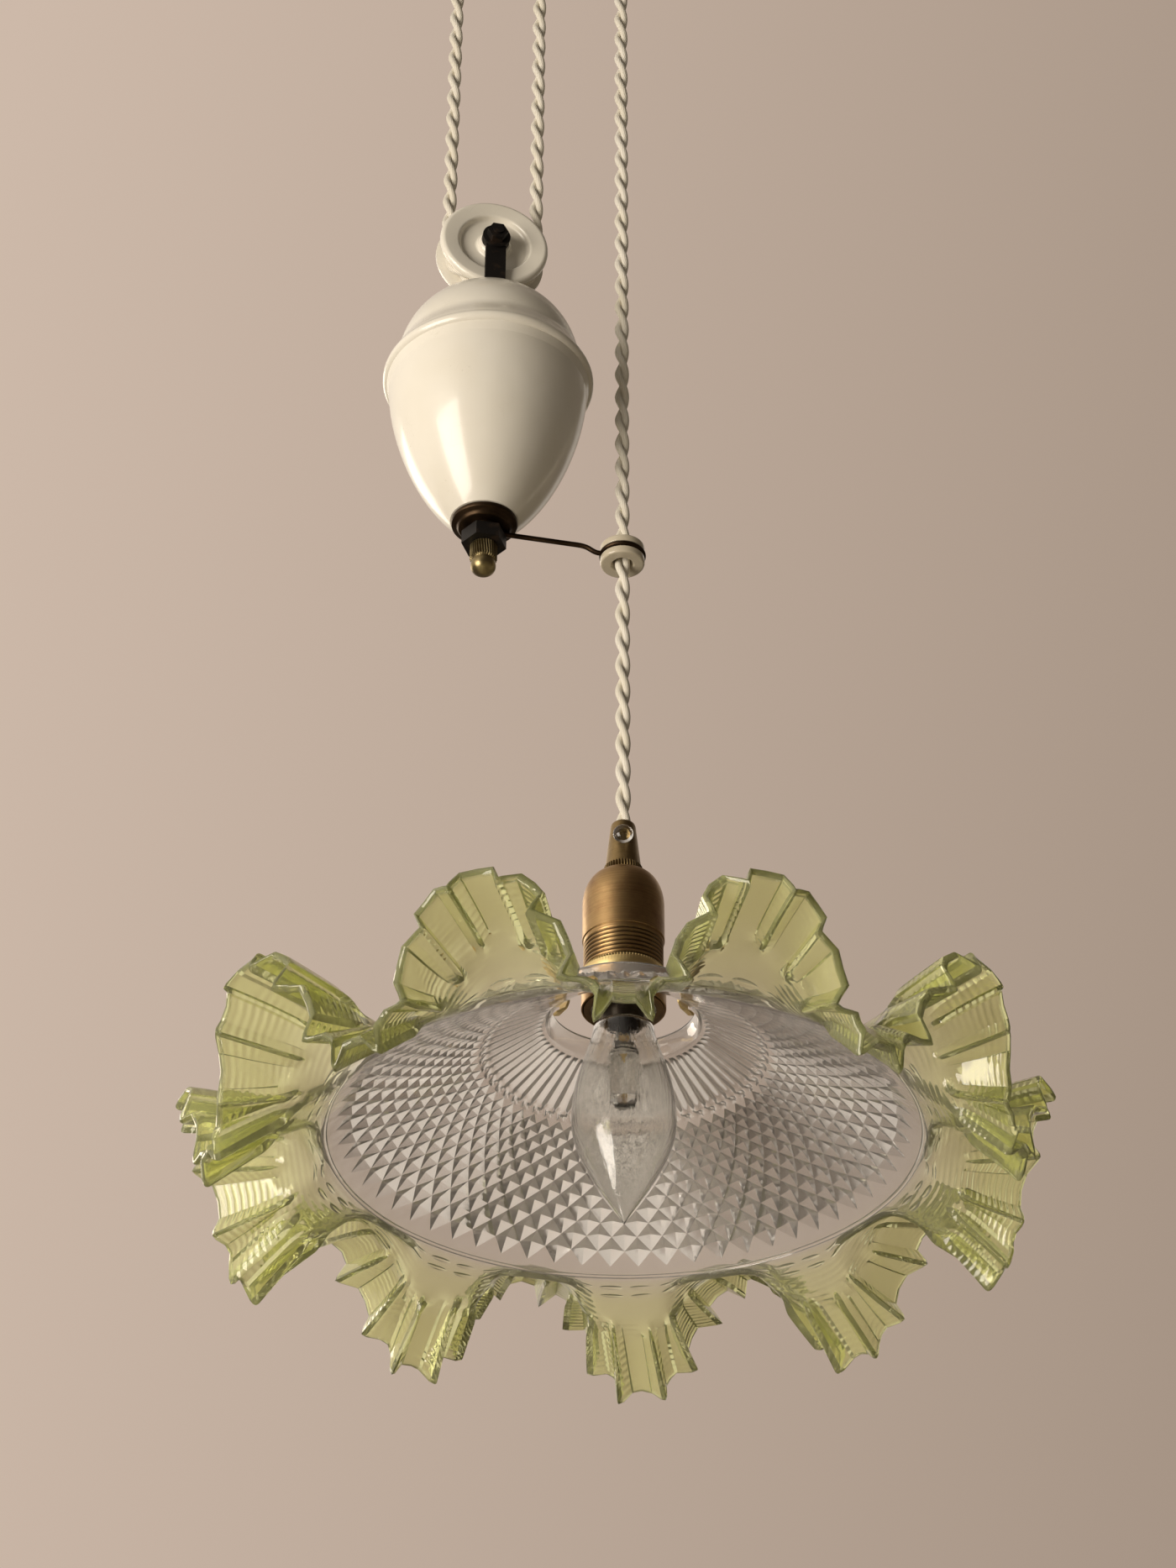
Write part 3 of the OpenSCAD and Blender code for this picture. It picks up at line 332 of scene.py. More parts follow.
def linear(code: str) -> tuple[float, float, float, float]:
    """Linear colour of an sRGB hex value: c/12.92 up to 0.04045, else ((c + 0.055)/1.055)^2.4."""
    c = np.array([int(code[k:k + 2], 16) for k in (0, 2, 4)]) / 255
    return (*[float(v) for v in np.where(c <= 0.04045, c / 12.92, ((c + 0.055) / 1.055) ** 2.4)], 1.0)


def add_node(tree: bpy.types.NodeTree, kind: str, inputs: dict | None = None,
             **settings: object) -> bpy.types.Node:
    """Add a node with its settings, and give each input a value or a link.

    Inputs 1 to 4 of a MapRange are where it starts and ends and its value there, and inputs 0, 6 and 7
    of a Mix of colours are its factor and its two colours.

    Args:
        tree: node tree.
        kind: node type without its ShaderNode prefix.
        inputs: for each input, by name or number, a value, an output, or a node that gives its first
            working output.
        settings: the node's own properties.

    Returns:
        The node.
    """
    made = tree.nodes.new("ShaderNode" + kind)
    for name, value in settings.items():
        setattr(made, name, value)
    for key, value in (inputs or {}).items():
        if isinstance(value, bpy.types.Node):
            value = next(out for out in value.outputs if out.enabled)
        if isinstance(value, bpy.types.NodeSocket):
            tree.links.new(value, made.inputs[key])
        else:
            made.inputs[key].default_value = value
    return made


def start_tree(owner: bpy.types.Material | bpy.types.World) -> Adder:
    """Empty the nodes of a material or world.

    Args:
        owner: material or world.

    Returns:
        add_node for its tree.
    """
    owner.use_nodes = True
    owner.node_tree.nodes.clear()
    return partial(add_node, owner.node_tree)


@dataclass(frozen=True, kw_only=True)
class Finish:
    """A material's name and the point in mm that its pattern is laid out from. Scales are per mm."""

    name: str
    centre: Point = (0.0, 0.0, 0.0)

    def mm(self, add: Adder, scale: Point = (1.0, 1.0, 1.0)) -> bpy.types.Node:
        """Object coordinates in mm from the centre, with each axis stretched by a scale."""
        return add("Mapping", {"Vector": add("TexCoord").outputs["Object"], "Scale": [s / MM for s in scale],
                               "Location": [-c * s for c, s in zip(self.centre, scale)]})

    def surface(self, add: Adder) -> dict[str, object]:
        """Inputs of the shader. Each finish gives its own."""
        raise NotImplementedError

    def build(self) -> bpy.types.Material:
        """Build the material from its shader.

        Returns:
            The material.
        """
        material = bpy.data.materials.new(self.name)
        add = start_tree(material)
        add("OutputMaterial", {"Surface": add("BsdfPrincipled", self.surface(add))})
        return material


@dataclass(frozen=True, kw_only=True)
class GlazedPorcelain(Finish):
    """White porcelain, cast, fired and dipped in a clear glaze.

    The glaze gives it a soft, deep gloss. Handling has left faint brown specks and a net of fine cracks.
    """

    name: str = "glazed_porcelain"
    body: str = "efebe0"
    cloud: str = "e3dccb"
    speck: str = "8f7c5e"
    cloud_scale: float = 0.035
    cell_scale: float = 0.14
    crack_mm: float = 0.06
    cell_mm: float = 7.0
    speck_scale: float = 0.75
    patch_scale: float = 0.06
    swell_scale: float = 0.09
    swell_depth: float = 0.0006

    def surface(self, add: Adder) -> dict[str, object]:
        """Cloudy body with crazing and specks in patches.

        Args:
            add: adds a node.

        Returns:
            Inputs of the shader.
        """
        mm = self.mm(add)
        clouds = add("TexNoise", {"Vector": mm, "Scale": self.cloud_scale, "Detail": 3.0})
        tone = add("Mix", {0: clouds, 6: linear(self.body), 7: linear(self.cloud)}, data_type="RGBA")
        # Crazing: cells whose edges are a hair wide
        bent = add("TexNoise", {"Vector": mm, "Scale": 0.3, "Detail": 2.0})
        shifted = add("VectorMath", {0: mm, 1: bent.outputs["Color"]}, operation="ADD")
        cells = add("TexVoronoi", {"Vector": shifted, "Scale": self.cell_scale}, feature="DISTANCE_TO_EDGE")
        crack = add("MapRange", {"Value": cells, 2: self.crack_mm / self.cell_mm, 3: 0.22, 4: 0.0})
        # Specks of about a millimetre. Both they and the crazing show only in patches
        grit = add("TexNoise", {"Vector": mm, "Scale": self.speck_scale, "Detail": 4.0, "Roughness": 0.65})
        specks = add("MapRange", {"Value": grit, 1: 0.66, 2: 0.72, 4: 0.75})
        patch = add("TexNoise", {"Vector": mm, "Scale": self.patch_scale, "Detail": 1.0})
        share = add("MapRange", {"Value": patch, 1: 0.56, 2: 0.7})
        shown = [add("Math", {0: mark, 1: share}, operation="MULTIPLY") for mark in (specks, crack)]
        marks = add("Math", dict(enumerate(shown)), operation="MAXIMUM")
        # The glaze pools in slow swells
        swell = add("TexNoise", {"Vector": mm, "Scale": self.swell_scale, "Detail": 1.0})
        return {
            "Base Color": add("Mix", {0: marks, 6: tone, 7: linear(self.speck)}, data_type="RGBA"),
            "Roughness": add("MapRange", {"Value": clouds, 3: 0.16, 4: 0.3}), "IOR": 1.52,
            "Coat Weight": 0.25, "Coat Roughness": 0.05,
            "Normal": add("Bump", {"Height": swell, "Strength": 0.25, "Distance": self.swell_depth})}


@dataclass(frozen=True, kw_only=True)
class TurnedMetal(Finish):
    """Copper alloy or steel turned on a lathe, then aged, lacquered or plated.

    Turning leaves fine rings round the axis that draw a highlight out sideways. Age gives blotches of a
    second colour. Threads, knurling and the skirt's inside get a dark colour as painted shade, as deep as the
    tint attribute says.
    """

    face: str
    patina: str
    centre: Point = (35.0, 0.0, -590.0)
    # Colour of the painted shade in threads, knurling and hollows
    groove_shade: str = "1c130c"
    roughness: float = 0.36
    patina_share: float = 0.5
    blotch_scale: float = 0.12
    ring_mm: float = 0.35
    ring_depth: float = 0.00004
    anisotropy: float = 0.45

    def surface(self, add: Adder) -> dict[str, object]:
        """Blotches, lathe rings and painted shade in grooves.

        Args:
            add: adds a node.

        Returns:
            Inputs of the shader.
        """
        blotch = add("TexNoise", {"Vector": self.mm(add), "Scale": self.blotch_scale, "Detail": 4.0,
                                  "Roughness": 0.6})
        share = add("MapRange", {"Value": blotch, 1: 0.75 - self.patina_share * 0.6,
                                 2: 0.95 - self.patina_share * 0.4})
        tone = add("Mix", {0: share, 6: linear(self.face), 7: linear(self.patina)}, data_type="RGBA")
        # Rings of the lathe, drawn as coarse as the picture can show
        flat = self.mm(add, (STREAK_RUN, STREAK_RUN, 1 / self.ring_mm))
        rings = add("TexNoise", {"Vector": flat, "Scale": 1.0, "Detail": 2.0})
        streak = add("MapRange", {"Value": rings, 1: 0.3, 2: 0.7, 3: 0.86, 4: 1.08})
        lit = add("VectorMath", {0: tone, "Scale": streak}, operation="SCALE")
        # Painted shade: threads, knurling and hollows turn dark where the tint attribute is high
        groove_shade = add("Attribute", attribute_name="tint").outputs["Fac"]
        return {
            "Base Color": add("Mix", {0: groove_shade, 6: lit, 7: linear(self.groove_shade)}, data_type="RGBA"),
            "Roughness": add("MapRange", {"Value": blotch, 3: self.roughness - 0.08,
                                          4: self.roughness + 0.14}),
            "Metallic": 1.0, "Anisotropic": self.anisotropy, "Anisotropic Rotation": 0.25,
            "Tangent": add("Tangent", direction_type="RADIAL", axis="Z"),
            "Normal": add("Bump", {"Height": rings, "Strength": 0.6, "Distance": self.ring_depth})}


@dataclass(frozen=True, kw_only=True)
class ForgedIron(Finish):
    """Mild steel bent to shape and stove-blackened: dull, slightly pitted, with brown where it rubs."""

    name: str = "blackened_iron"
    centre: Point = (-17.5, 0.0, -300.0)
    face: str = "1f1c1a"
    rub: str = "4a3a2c"
    roughness: float = 0.48
    pit_scale: float = 1.1
    pit_depth: float = 0.00015
    wear_scale: float = 0.22

    def surface(self, add: Adder) -> dict[str, object]:
        """Pitted black with rubbed patches.

        Args:
            add: adds a node.

        Returns:
            Inputs of the shader.
        """
        mm = self.mm(add)
        pits = add("TexNoise", {"Vector": mm, "Scale": self.pit_scale, "Detail": 5.0, "Roughness": 0.7})
        wear = add("TexNoise", {"Vector": mm, "Scale": self.wear_scale, "Detail": 3.0})
        rubbed = add("MapRange", {"Value": wear, 1: 0.55, 2: 0.75, 4: 0.7})
        return {
            "Base Color": add("Mix", {0: rubbed, 6: linear(self.face), 7: linear(self.rub)},
                              data_type="RGBA"),
            "Roughness": add("MapRange", {"Value": pits, 3: self.roughness - 0.12, 4: self.roughness + 0.15}),
            "Metallic": 0.55,
            "Normal": add("Bump", {"Height": pits, "Strength": 0.5, "Distance": self.pit_depth})}


@dataclass(frozen=True, kw_only=True)
class BraidedCotton(Finish):
    """Cream cotton braided over rubber: a net of crossing yarns that is matt, with a little fuzz."""

    name: str = "braided_cotton"
    centre: Point = (0.0, 0.0, -300.0)
    yarn: str = "fffaf0"
    # Colour of the painted shade in the gaps between the yarns
    between: str = "c8bd9e"
    dust: str = "f2ead2"
    yarn_mm: float = 0.55
    lean: float = 0.62
    soil_scale: float = 0.05
    fuzz_scale: float = 2.2
    depth: float = 0.00025

    def surface(self, add: Adder) -> dict[str, object]:
        """Two sets of yarns that cross, on the strand's own uv, with painted shade in the gaps between them.

        Args:
            add: adds a node.

        Returns:
            Inputs of the shader.
        """
        uv = add("TexCoord").outputs["UV"]
        bands = []
        for lean in (self.lean, -self.lean):
            slanted = add("Mapping", {"Vector": uv, "Rotation": (0.0, 0.0, lean)})
            yarns = add("TexWave", {"Vector": slanted, "Scale": WAVE_RUN / self.yarn_mm, "Distortion": 0.6,
                                    "Detail": 1.0})
            bands.append(yarns.outputs["Fac"])
        weave = add("Math", dict(enumerate(bands)), operation="MAXIMUM")
        mm = self.mm(add)
        soil = add("TexNoise", {"Vector": mm, "Scale": self.soil_scale, "Detail": 3.0})
        soiled = add("MapRange", {"Value": soil, 1: 0.4, 2: 0.75, 4: 0.7})
        thread = add("Mix", {0: soiled, 6: linear(self.yarn), 7: linear(self.dust)}, data_type="RGBA")
        # Painted shade: where the yarns sink, the colour goes to the gap colour
        raised = add("MapRange", {"Value": weave, 1: 0.2, 2: 0.85})
        fuzz = add("TexNoise", {"Vector": mm, "Scale": self.fuzz_scale, "Detail": 2.0})
        height = add("Math", {0: fuzz, 1: 0.35, 2: weave}, operation="MULTIPLY_ADD")
        return {
            "Base Color": add("Mix", {0: raised, 6: linear(self.between), 7: thread}, data_type="RGBA"),
            "Roughness": 0.85, "Sheen Weight": 0.3, "Sheen Roughness": 0.4,
            "Normal": add("Bump", {"Height": height, "Strength": 0.7, "Distance": self.depth})}


@dataclass(frozen=True, kw_only=True)
class PressedGlass(Finish):
    """Soda-lime glass pressed clear in a mould, with a rim of yellow-green glass crimped while soft.

    It is fire-polished, so it is smooth, with slow ripples round the skirt. The tint follows the "tint"
    attribute and deepens where the eye looks along the wall. The uv runs in cells round the wall and in
    mm along it, downwards from zero on the lower face.
    """

    name: str = "pressed_glass"
    centre: Point = (*LAMP_AXIS, BEAD_LEVEL)
    clear: str = "f7f5f2"
    green: str = "f9fcc4"
    deep: str = "b7be3e"
    body: float = 0.86
    ripple_mm: float = 2.6
    ripple_depth: float = 0.0002
    hand_scale: float = 0.11
    broken_scale: float = 0.05
    dash_rows: tuple[float, float] = (5.2, 9.0)
    dash_half_mm: float = 0.95
    dash_depth: float = 0.0009

    def ripples(self, add: Adder, uv: bpy.types.NodeSocket, tint: bpy.types.NodeSocket,
                broken: bpy.types.Node) -> bpy.types.Node:
        """Ripples round the skirt, as the glass spread unevenly from the mould.

        Args:
            add: adds a node.
            uv: cells round and mm along.
            tint: how green the glass is, so that the clear cone has none.
            broken: noise that lets the ripples show in places.

        Returns:
            Bump node.
        """
        wave = add("TexWave", {"Vector": uv, "Scale": WAVE_RUN / self.ripple_mm, "Distortion": 2.2,
                               "Detail": 2.0, "Detail Scale": 0.25}, bands_direction="Y")
        where = add("MapRange", {"Value": broken, 1: 0.38, 2: 0.6, 4: 0.8})
        share = add("Math", {0: where, 1: tint}, operation="MULTIPLY")
        wavy = add("Math", {0: wave.outputs["Fac"], 1: share}, operation="MULTIPLY")
        hand = add("TexNoise", {"Vector": self.mm(add), "Scale": self.hand_scale, "Detail": 2.0})
        height = add("Math", {0: hand, 1: 1.5, 2: wavy}, operation="MULTIPLY_ADD")
        return add("Bump", {"Height": height, "Strength": 0.7, "Distance": self.ripple_depth})

    def dashes(self, add: Adder, uv: bpy.types.NodeSocket, broken: bpy.types.Node) -> bpy.types.Node:
        """Two rows of dashes outside the bead, one of each to a cell: 1 - x^2 - y^2, never below zero.

        Args:
            add: adds a node.
            uv: cells round and mm along.
            broken: noise that makes some of them faint.

        Returns:
            Height node.
        """
        place = add("SeparateXYZ", {0: uv})
        cell = add("Math", {0: place.outputs["X"]}, operation="FRACT")
        x = add("MapRange", {"Value": cell, 1: 0.12, 2: 0.88, 3: -1.0, 4: 1.0}, clamp=False)
        xx = add("Math", {0: x, 1: x}, operation="MULTIPLY")
        rows = [add("Math", {0: place.outputs["Y"], 1: row}, operation="SUBTRACT") for row in self.dash_rows]
        away = [add("Math", {0: row}, operation="ABSOLUTE") for row in rows]
        near = add("Math", dict(enumerate(away)), operation="MINIMUM")
        y = add("Math", {0: near, 1: self.dash_half_mm}, operation="DIVIDE")
        total = add("Math", {0: y, 1: y, 2: xx}, operation="MULTIPLY_ADD")
        dash = add("Math", {0: 1.0, 1: total}, operation="SUBTRACT", use_clamp=True)
        faint = add("MapRange", {"Value": broken, 1: 0.38, 2: 0.6, 3: 0.25})
        return add("Math", {0: dash, 1: faint}, operation="MULTIPLY")

    def surface(self, add: Adder) -> dict[str, object]:
        """Clear to green glass with ripples and dashes in its face.

        Args:
            add: adds a node.

        Returns:
            Inputs of the shader.
        """
        tint = add("Attribute", attribute_name="tint").outputs["Fac"]
        facing = add("LayerWeight", {"Blend": 0.35}).outputs["Facing"]
        edge = add("MapRange", {"Value": facing, 1: 0.38, 2: 0.85})
        green = add("Mix", {0: edge, 6: linear(self.green), 7: linear(self.deep)}, data_type="RGBA")
        uv = add("TexCoord").outputs["UV"]
        broken = add("TexNoise", {"Vector": self.mm(add), "Scale": self.broken_scale, "Detail": 1.0})
        slow = self.ripples(add, uv, tint, broken)
        return {
            "Base Color": add("Mix", {0: tint, 6: linear(self.clear), 7: green}, data_type="RGBA"),
            "Roughness": 0.015, "IOR": 1.52, "Transmission Weight": self.body,
            "Normal": add("Bump", {"Height": self.dashes(add, uv, broken), "Strength": 1.0,
                                   "Distance": self.dash_depth, "Normal": slow})}


@dataclass(frozen=True, kw_only=True)
class DrawnGlass(Finish):
    """Thin clear glass or plastic: colourless, smooth, with streaks along its length from drawing."""

    centre: Point = (35.0, 0.0, -660.0)
    colour: str = "f8f8f6"
    ior: float = 1.5
    roughness: float = 0.01
    streak_mm: float = 1.2
    streak_depth: float = 0.0001

    def surface(self, add: Adder) -> dict[str, object]:
        """Clear body with drawn streaks.

        Args:
            add: adds a node.

        Returns:
            Inputs of the shader.
        """
        flat = self.mm(add, (1 / self.streak_mm, 1 / self.streak_mm, STREAK_RUN))
        streaks = add("TexNoise", {"Vector": flat, "Scale": 1.0, "Detail": 3.0})
        return {
            "Base Color": linear(self.colour), "Roughness": self.roughness, "IOR": self.ior,
            "Transmission Weight": 1.0,
            "Normal": add("Bump", {"Height": streaks, "Strength": 0.8, "Distance": self.streak_depth})}


@dataclass(frozen=True, kw_only=True)
class Moulded(Finish):
    """Moulded plastic or unglazed ceramic: even colour, fine grain, a soft sheen."""

    face: str
    roughness: float = 0.45
    grain_mm: float = 0.8
    grain_depth: float = 0.00008

    def surface(self, add: Adder) -> dict[str, object]:
        """One colour with a fine grain.

        Args:
            add: adds a node.

        Returns:
            Inputs of the shader.
        """
        grain = add("TexNoise", {"Vector": self.mm(add), "Scale": 1 / self.grain_mm, "Detail": 3.0})
        tone = add("MapRange", {"Value": grain, 3: 0.93, 4: 1.05})
        return {
            "Base Color": add("VectorMath", {0: linear(self.face)[:3], "Scale": tone}, operation="SCALE"),
            "Roughness": self.roughness,
            "Normal": add("Bump", {"Height": grain, "Strength": 0.3, "Distance": self.grain_depth})}


PORCELAIN = GlazedPorcelain(centre=(-17.5, 0.0, -360.0))
BOBBIN_PORCELAIN = GlazedPorcelain(name="worn_porcelain", body="d8d0bd", cloud="b9ad94", speck="5d4c38",
                                   centre=(35.0, 0.0, -421.0))
BRONZE = TurnedMetal(name="aged_bronze", face="b29366", patina="93714e")
GRIP_BRONZE = TurnedMetal(name="olive_bronze", face="98825a", patina="7a6644", roughness=0.42)
DARK_BRONZE = TurnedMetal(name="dark_bronze", face="4a3b2c", patina="2b211a", roughness=0.42,
                          centre=(-17.5, 0.0, -420.0))
OLD_BRASS = TurnedMetal(name="old_brass", face="a3946c", patina="75664a", roughness=0.34,
                        centre=(-17.5, 0.0, -430.0))
YELLOW_BRASS = TurnedMetal(name="lacquered_brass", face="f8dfa0", patina="eccb88", roughness=0.38,
                           patina_share=0.3)
PLATED_STEEL = TurnedMetal(name="plated_steel", face="c9c9c6", patina="a9a8a2", roughness=0.33,
                           anisotropy=0.2)
# Plated metal of the lamp's cap, darkened as painted shade for where it sits deep in the lampholder
SHADED_CAP_METAL = TurnedMetal(name="shaded_cap_metal", face="5a544c", patina="332d27", roughness=0.4)
IRON = ForgedIron()
COTTON = BraidedCotton()
GLASS = PressedGlass()
BULB_GLASS = DrawnGlass(name="bulb_glass_clear", streak_depth=0.00012)
CLEAR_PLASTIC = DrawnGlass(name="clear_acrylic", ior=1.49, streak_mm=4.0)
CERAMIC = Moulded(name="steatite", face="d9d2c2", roughness=0.5)
PLASTIC = Moulded(name="ivory_polyamide", face="e6dfcb", roughness=0.42)
SHOT = Moulded(name="lead_shot", face="5c5c60", roughness=0.6, grain_mm=2.4)


# ---------------------------------------------------------------------------------------------------
# Sub-assemblies


@dataclass
class Workshop:
    """Joins pieces to bodies and finishes, and builds each finish once."""

    made: dict[str, bpy.types.Material] = field(default_factory=dict)

    def material(self, finish: Finish) -> bpy.types.Material:
        """Build a finish, or give the one already built under its name."""
        if finish.name not in self.made:
            self.made[finish.name] = finish.build()
        return self.made[finish.name]

    def fit(self, name: str, patches: list[Patch], finish: Finish, body: Body, slot: Slot, node: str,
            sharp: float = 35.0) -> None:
        """Make a piece that stands for a node, dress it and let it ride on its body.

        Args:
            name: name of the piece.
            patches: its surfaces.
            finish: its finish.
            body: the body that carries it.
            slot: material slot of the record; not used.
            node: frame node that it stands for.
            sharp: angle above which edges stay sharp.
        """
        piece = make_piece(name, patches, sharp)
        piece.data.materials.append(self.material(finish))
        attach(piece, body.value)
        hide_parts(node)
        LOG.info("%s: %d triangles on %s", name, len(piece.data.polygons), body.value)

    def dress(self, finish: Finish, *nodes: str) -> None:
        """Give frame nodes that keep their shape a finish.

        Args:
            finish: the finish.
            nodes: names of the nodes.
        """
        for name in nodes:
            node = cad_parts[name]
            if not node.material_slots:
                node.data.materials.append(self.material(finish))
            for place in node.material_slots:
                place.material = self.material(finish)


@dataclass
class Assembly:
    """Sub-assembly whose pieces ride on one body and are placed from one point."""

    shop: Workshop
    body: Body
    centre: Point

    def turn(self, name: str, node: str, profile: Array, finish: Finish, slot: Slot = Slot.AGED_BRASS,
             steps: int = 96, sharp: float = 35.0, **shape: object) -> None:
        """Fit a piece that is turned from a profile about the centre.

        Args:
            name: name of the piece.
            node: frame node that it stands for.
            profile: radius and height of each point.
            finish: its finish.
            slot: material slot of the record.
            steps: number of steps round the axis.
            sharp: angle above which edges stay sharp.
            shape: more of what turned() takes.
        """
        patch = turned(profile, steps, centre=self.centre, **shape)
        self.shop.fit(name, [patch], finish, self.body, slot, node, sharp)


@dataclass
class Flex:
    """Twisted pair of braided strands, wound on along five pieces that meet end to end.

    The path is down from the ceiling, half a turn round the counterweight's pulley, up, half a turn over
    the ceiling's pulley and down to the lamp. Strand centres are path + r (cos f N + sin f B), where f
    falls by a full turn each pitch, N is the Y axis and B lies across the path.
    """

    shop: Workshop
    strand_r: float = 1.38
    offset: float = 1.4
    pitch: float = 23.5
    wheel_r: float = WHEEL_CORD_R
    diameter: float = 5.6
    sides: int = 14
    half_turn_points: int = 56
    fixed_x: float = -35.0
    middle_x: float = 0.0
    lamp_x: float = 35.0
    top: float = -12.5
    gland: float = -42.0
    ceiling_wheel: float = TOP_WHEEL_LEVEL
    weight_wheel: float = WEIGHT_WHEEL_LEVEL
    grip_top: float = -542.1
    end: float = -587.0

    def line(self, x: float, start: float, end: float) -> Array:
        """Straight run at x, with a point every millimetre."""
        z = np.linspace(start, end, int(abs(end - start)) + 1)
        return np.stack([np.full_like(z, x), np.zeros_like(z), z], 1)

    def half_turn(self, x: float, z: float, end: float) -> Array:
        """Half a turn about a pulley's centre, from 180 degrees to another angle."""
        wheel = arc(x, z, self.wheel_r, 180, end, self.half_turn_points - 1)
        return np.insert(wheel, 1, 0.0, 1)

    def wound(self, path: Array, done: float) -> list[Patch]:
        """Two strands about a path, in step with the length wound before it.

        Args:
            path: centre line.
            done: length of the pieces before it.

        Returns:
            The two strands' surfaces.
        """
        along = np.gradient(path, axis=0)
        along /= np.linalg.norm(along, axis=1, keepdims=True)
        side = np.tile([0.0, 1.0, 0.0], (len(path), 1))
        across = np.cross(along, side)
        strands = []
        for half in (0.0, np.pi):
            f = (half - 2 * np.pi * (done + travelled(path)) / self.pitch)[:, None]
            out = np.cos(f) * side + np.sin(f) * across
            strand = swept(path + self.offset * out, self.strand_r, self.sides, phase=out)
            strand.uv = strand.uv + [0.0, done]
            strands.append(strand)
        return strands

    def build(self) -> None:
        ceiling, weight, lamp = Body.CEILING.value, Body.WEIGHT.value, Body.LAMP.value
        top, low = self.ceiling_wheel, self.weight_wheel
        runs = [
            ("flex_fixed_run", self.line(self.fixed_x, self.top, low), (ceiling, weight),
             (self.fixed_x, self.gland, low), ("cord_tail", "cord_fixed_run")),
            ("flex_weight_loop", self.half_turn(-self.wheel_r, low, 360), (weight,), None,
             ("cord_weight_loop",)),
            ("flex_middle_run", self.line(self.middle_x, low, top), (ceiling, weight),
             (self.middle_x, top, low), ("cord_middle_run",)),
            ("flex_top_loop", self.half_turn(self.wheel_r, top, 0), (ceiling,), None, ("cord_top_loop",)),
            ("flex_lamp_run", self.line(self.lamp_x, top, self.end), (ceiling, lamp),
             (self.lamp_x, top, self.grip_top), ("cord_lamp_run", "lamp_cord_end")),
        ]
        done = 0.0
        for name, path, bodies, span, nodes in runs:
            piece = make_piece(name, self.wound(path, done))
            piece.data.materials.append(self.shop.material(COTTON))
            if span is None:
                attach(piece, bodies[0])
            else:
                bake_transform(piece)
            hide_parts(*nodes)
            length = float(travelled(path)[-1])
            done += length
            LOG.info("%s: %.0f mm, %d triangles", name, length, len(piece.data.polygons))


@dataclass
class Pulley(Assembly):
    """Porcelain pulley with a round groove, rounded flanges, a recess in each face and a domed hub."""

    name: str
    node: str
    outer_r: float = 21.5
    pitch_r: float = WHEEL_CORD_R
    half_w: float = 7.0
    groove_r: float = 3.2
    hub_r: float = 7.0
    hub_proud: float = 0.2
    hub_round: float = 2.0
    recess_r: float = 13.4
    recess_depth: float = 3.0
    flange_round: float = 1.8
    hole_r: float = 2.05

    def build(self) -> None:
        """Turn the pulley about its axle."""
        floor, hub, r = self.half_w - self.recess_depth, self.half_w + self.hub_proud, self.flange_round
        side = softened(outline(
            [self.hole_r, hub], arc(self.hub_r - 2.5, hub - self.hub_round, self.hub_round, 90, 0, 6),
            [self.hub_r, floor], [self.recess_r, floor], [self.recess_r + 0.9, self.half_w - 0.6],
            arc(self.outer_r - r, self.half_w - r, r, 90, 0, 8), [self.outer_r, self.groove_r + 1.2]),
            0.8, closed=False)
        half = outline(side, arc(self.pitch_r, 0, self.groove_r, 90, 180, 10))
        profile = outline(half, half[::-1][1:] * [1, -1])
        self.turn(self.name, self.node, profile, PORCELAIN, Slot.PORCELAIN, 128, 50, axis=Axis.AXLE)


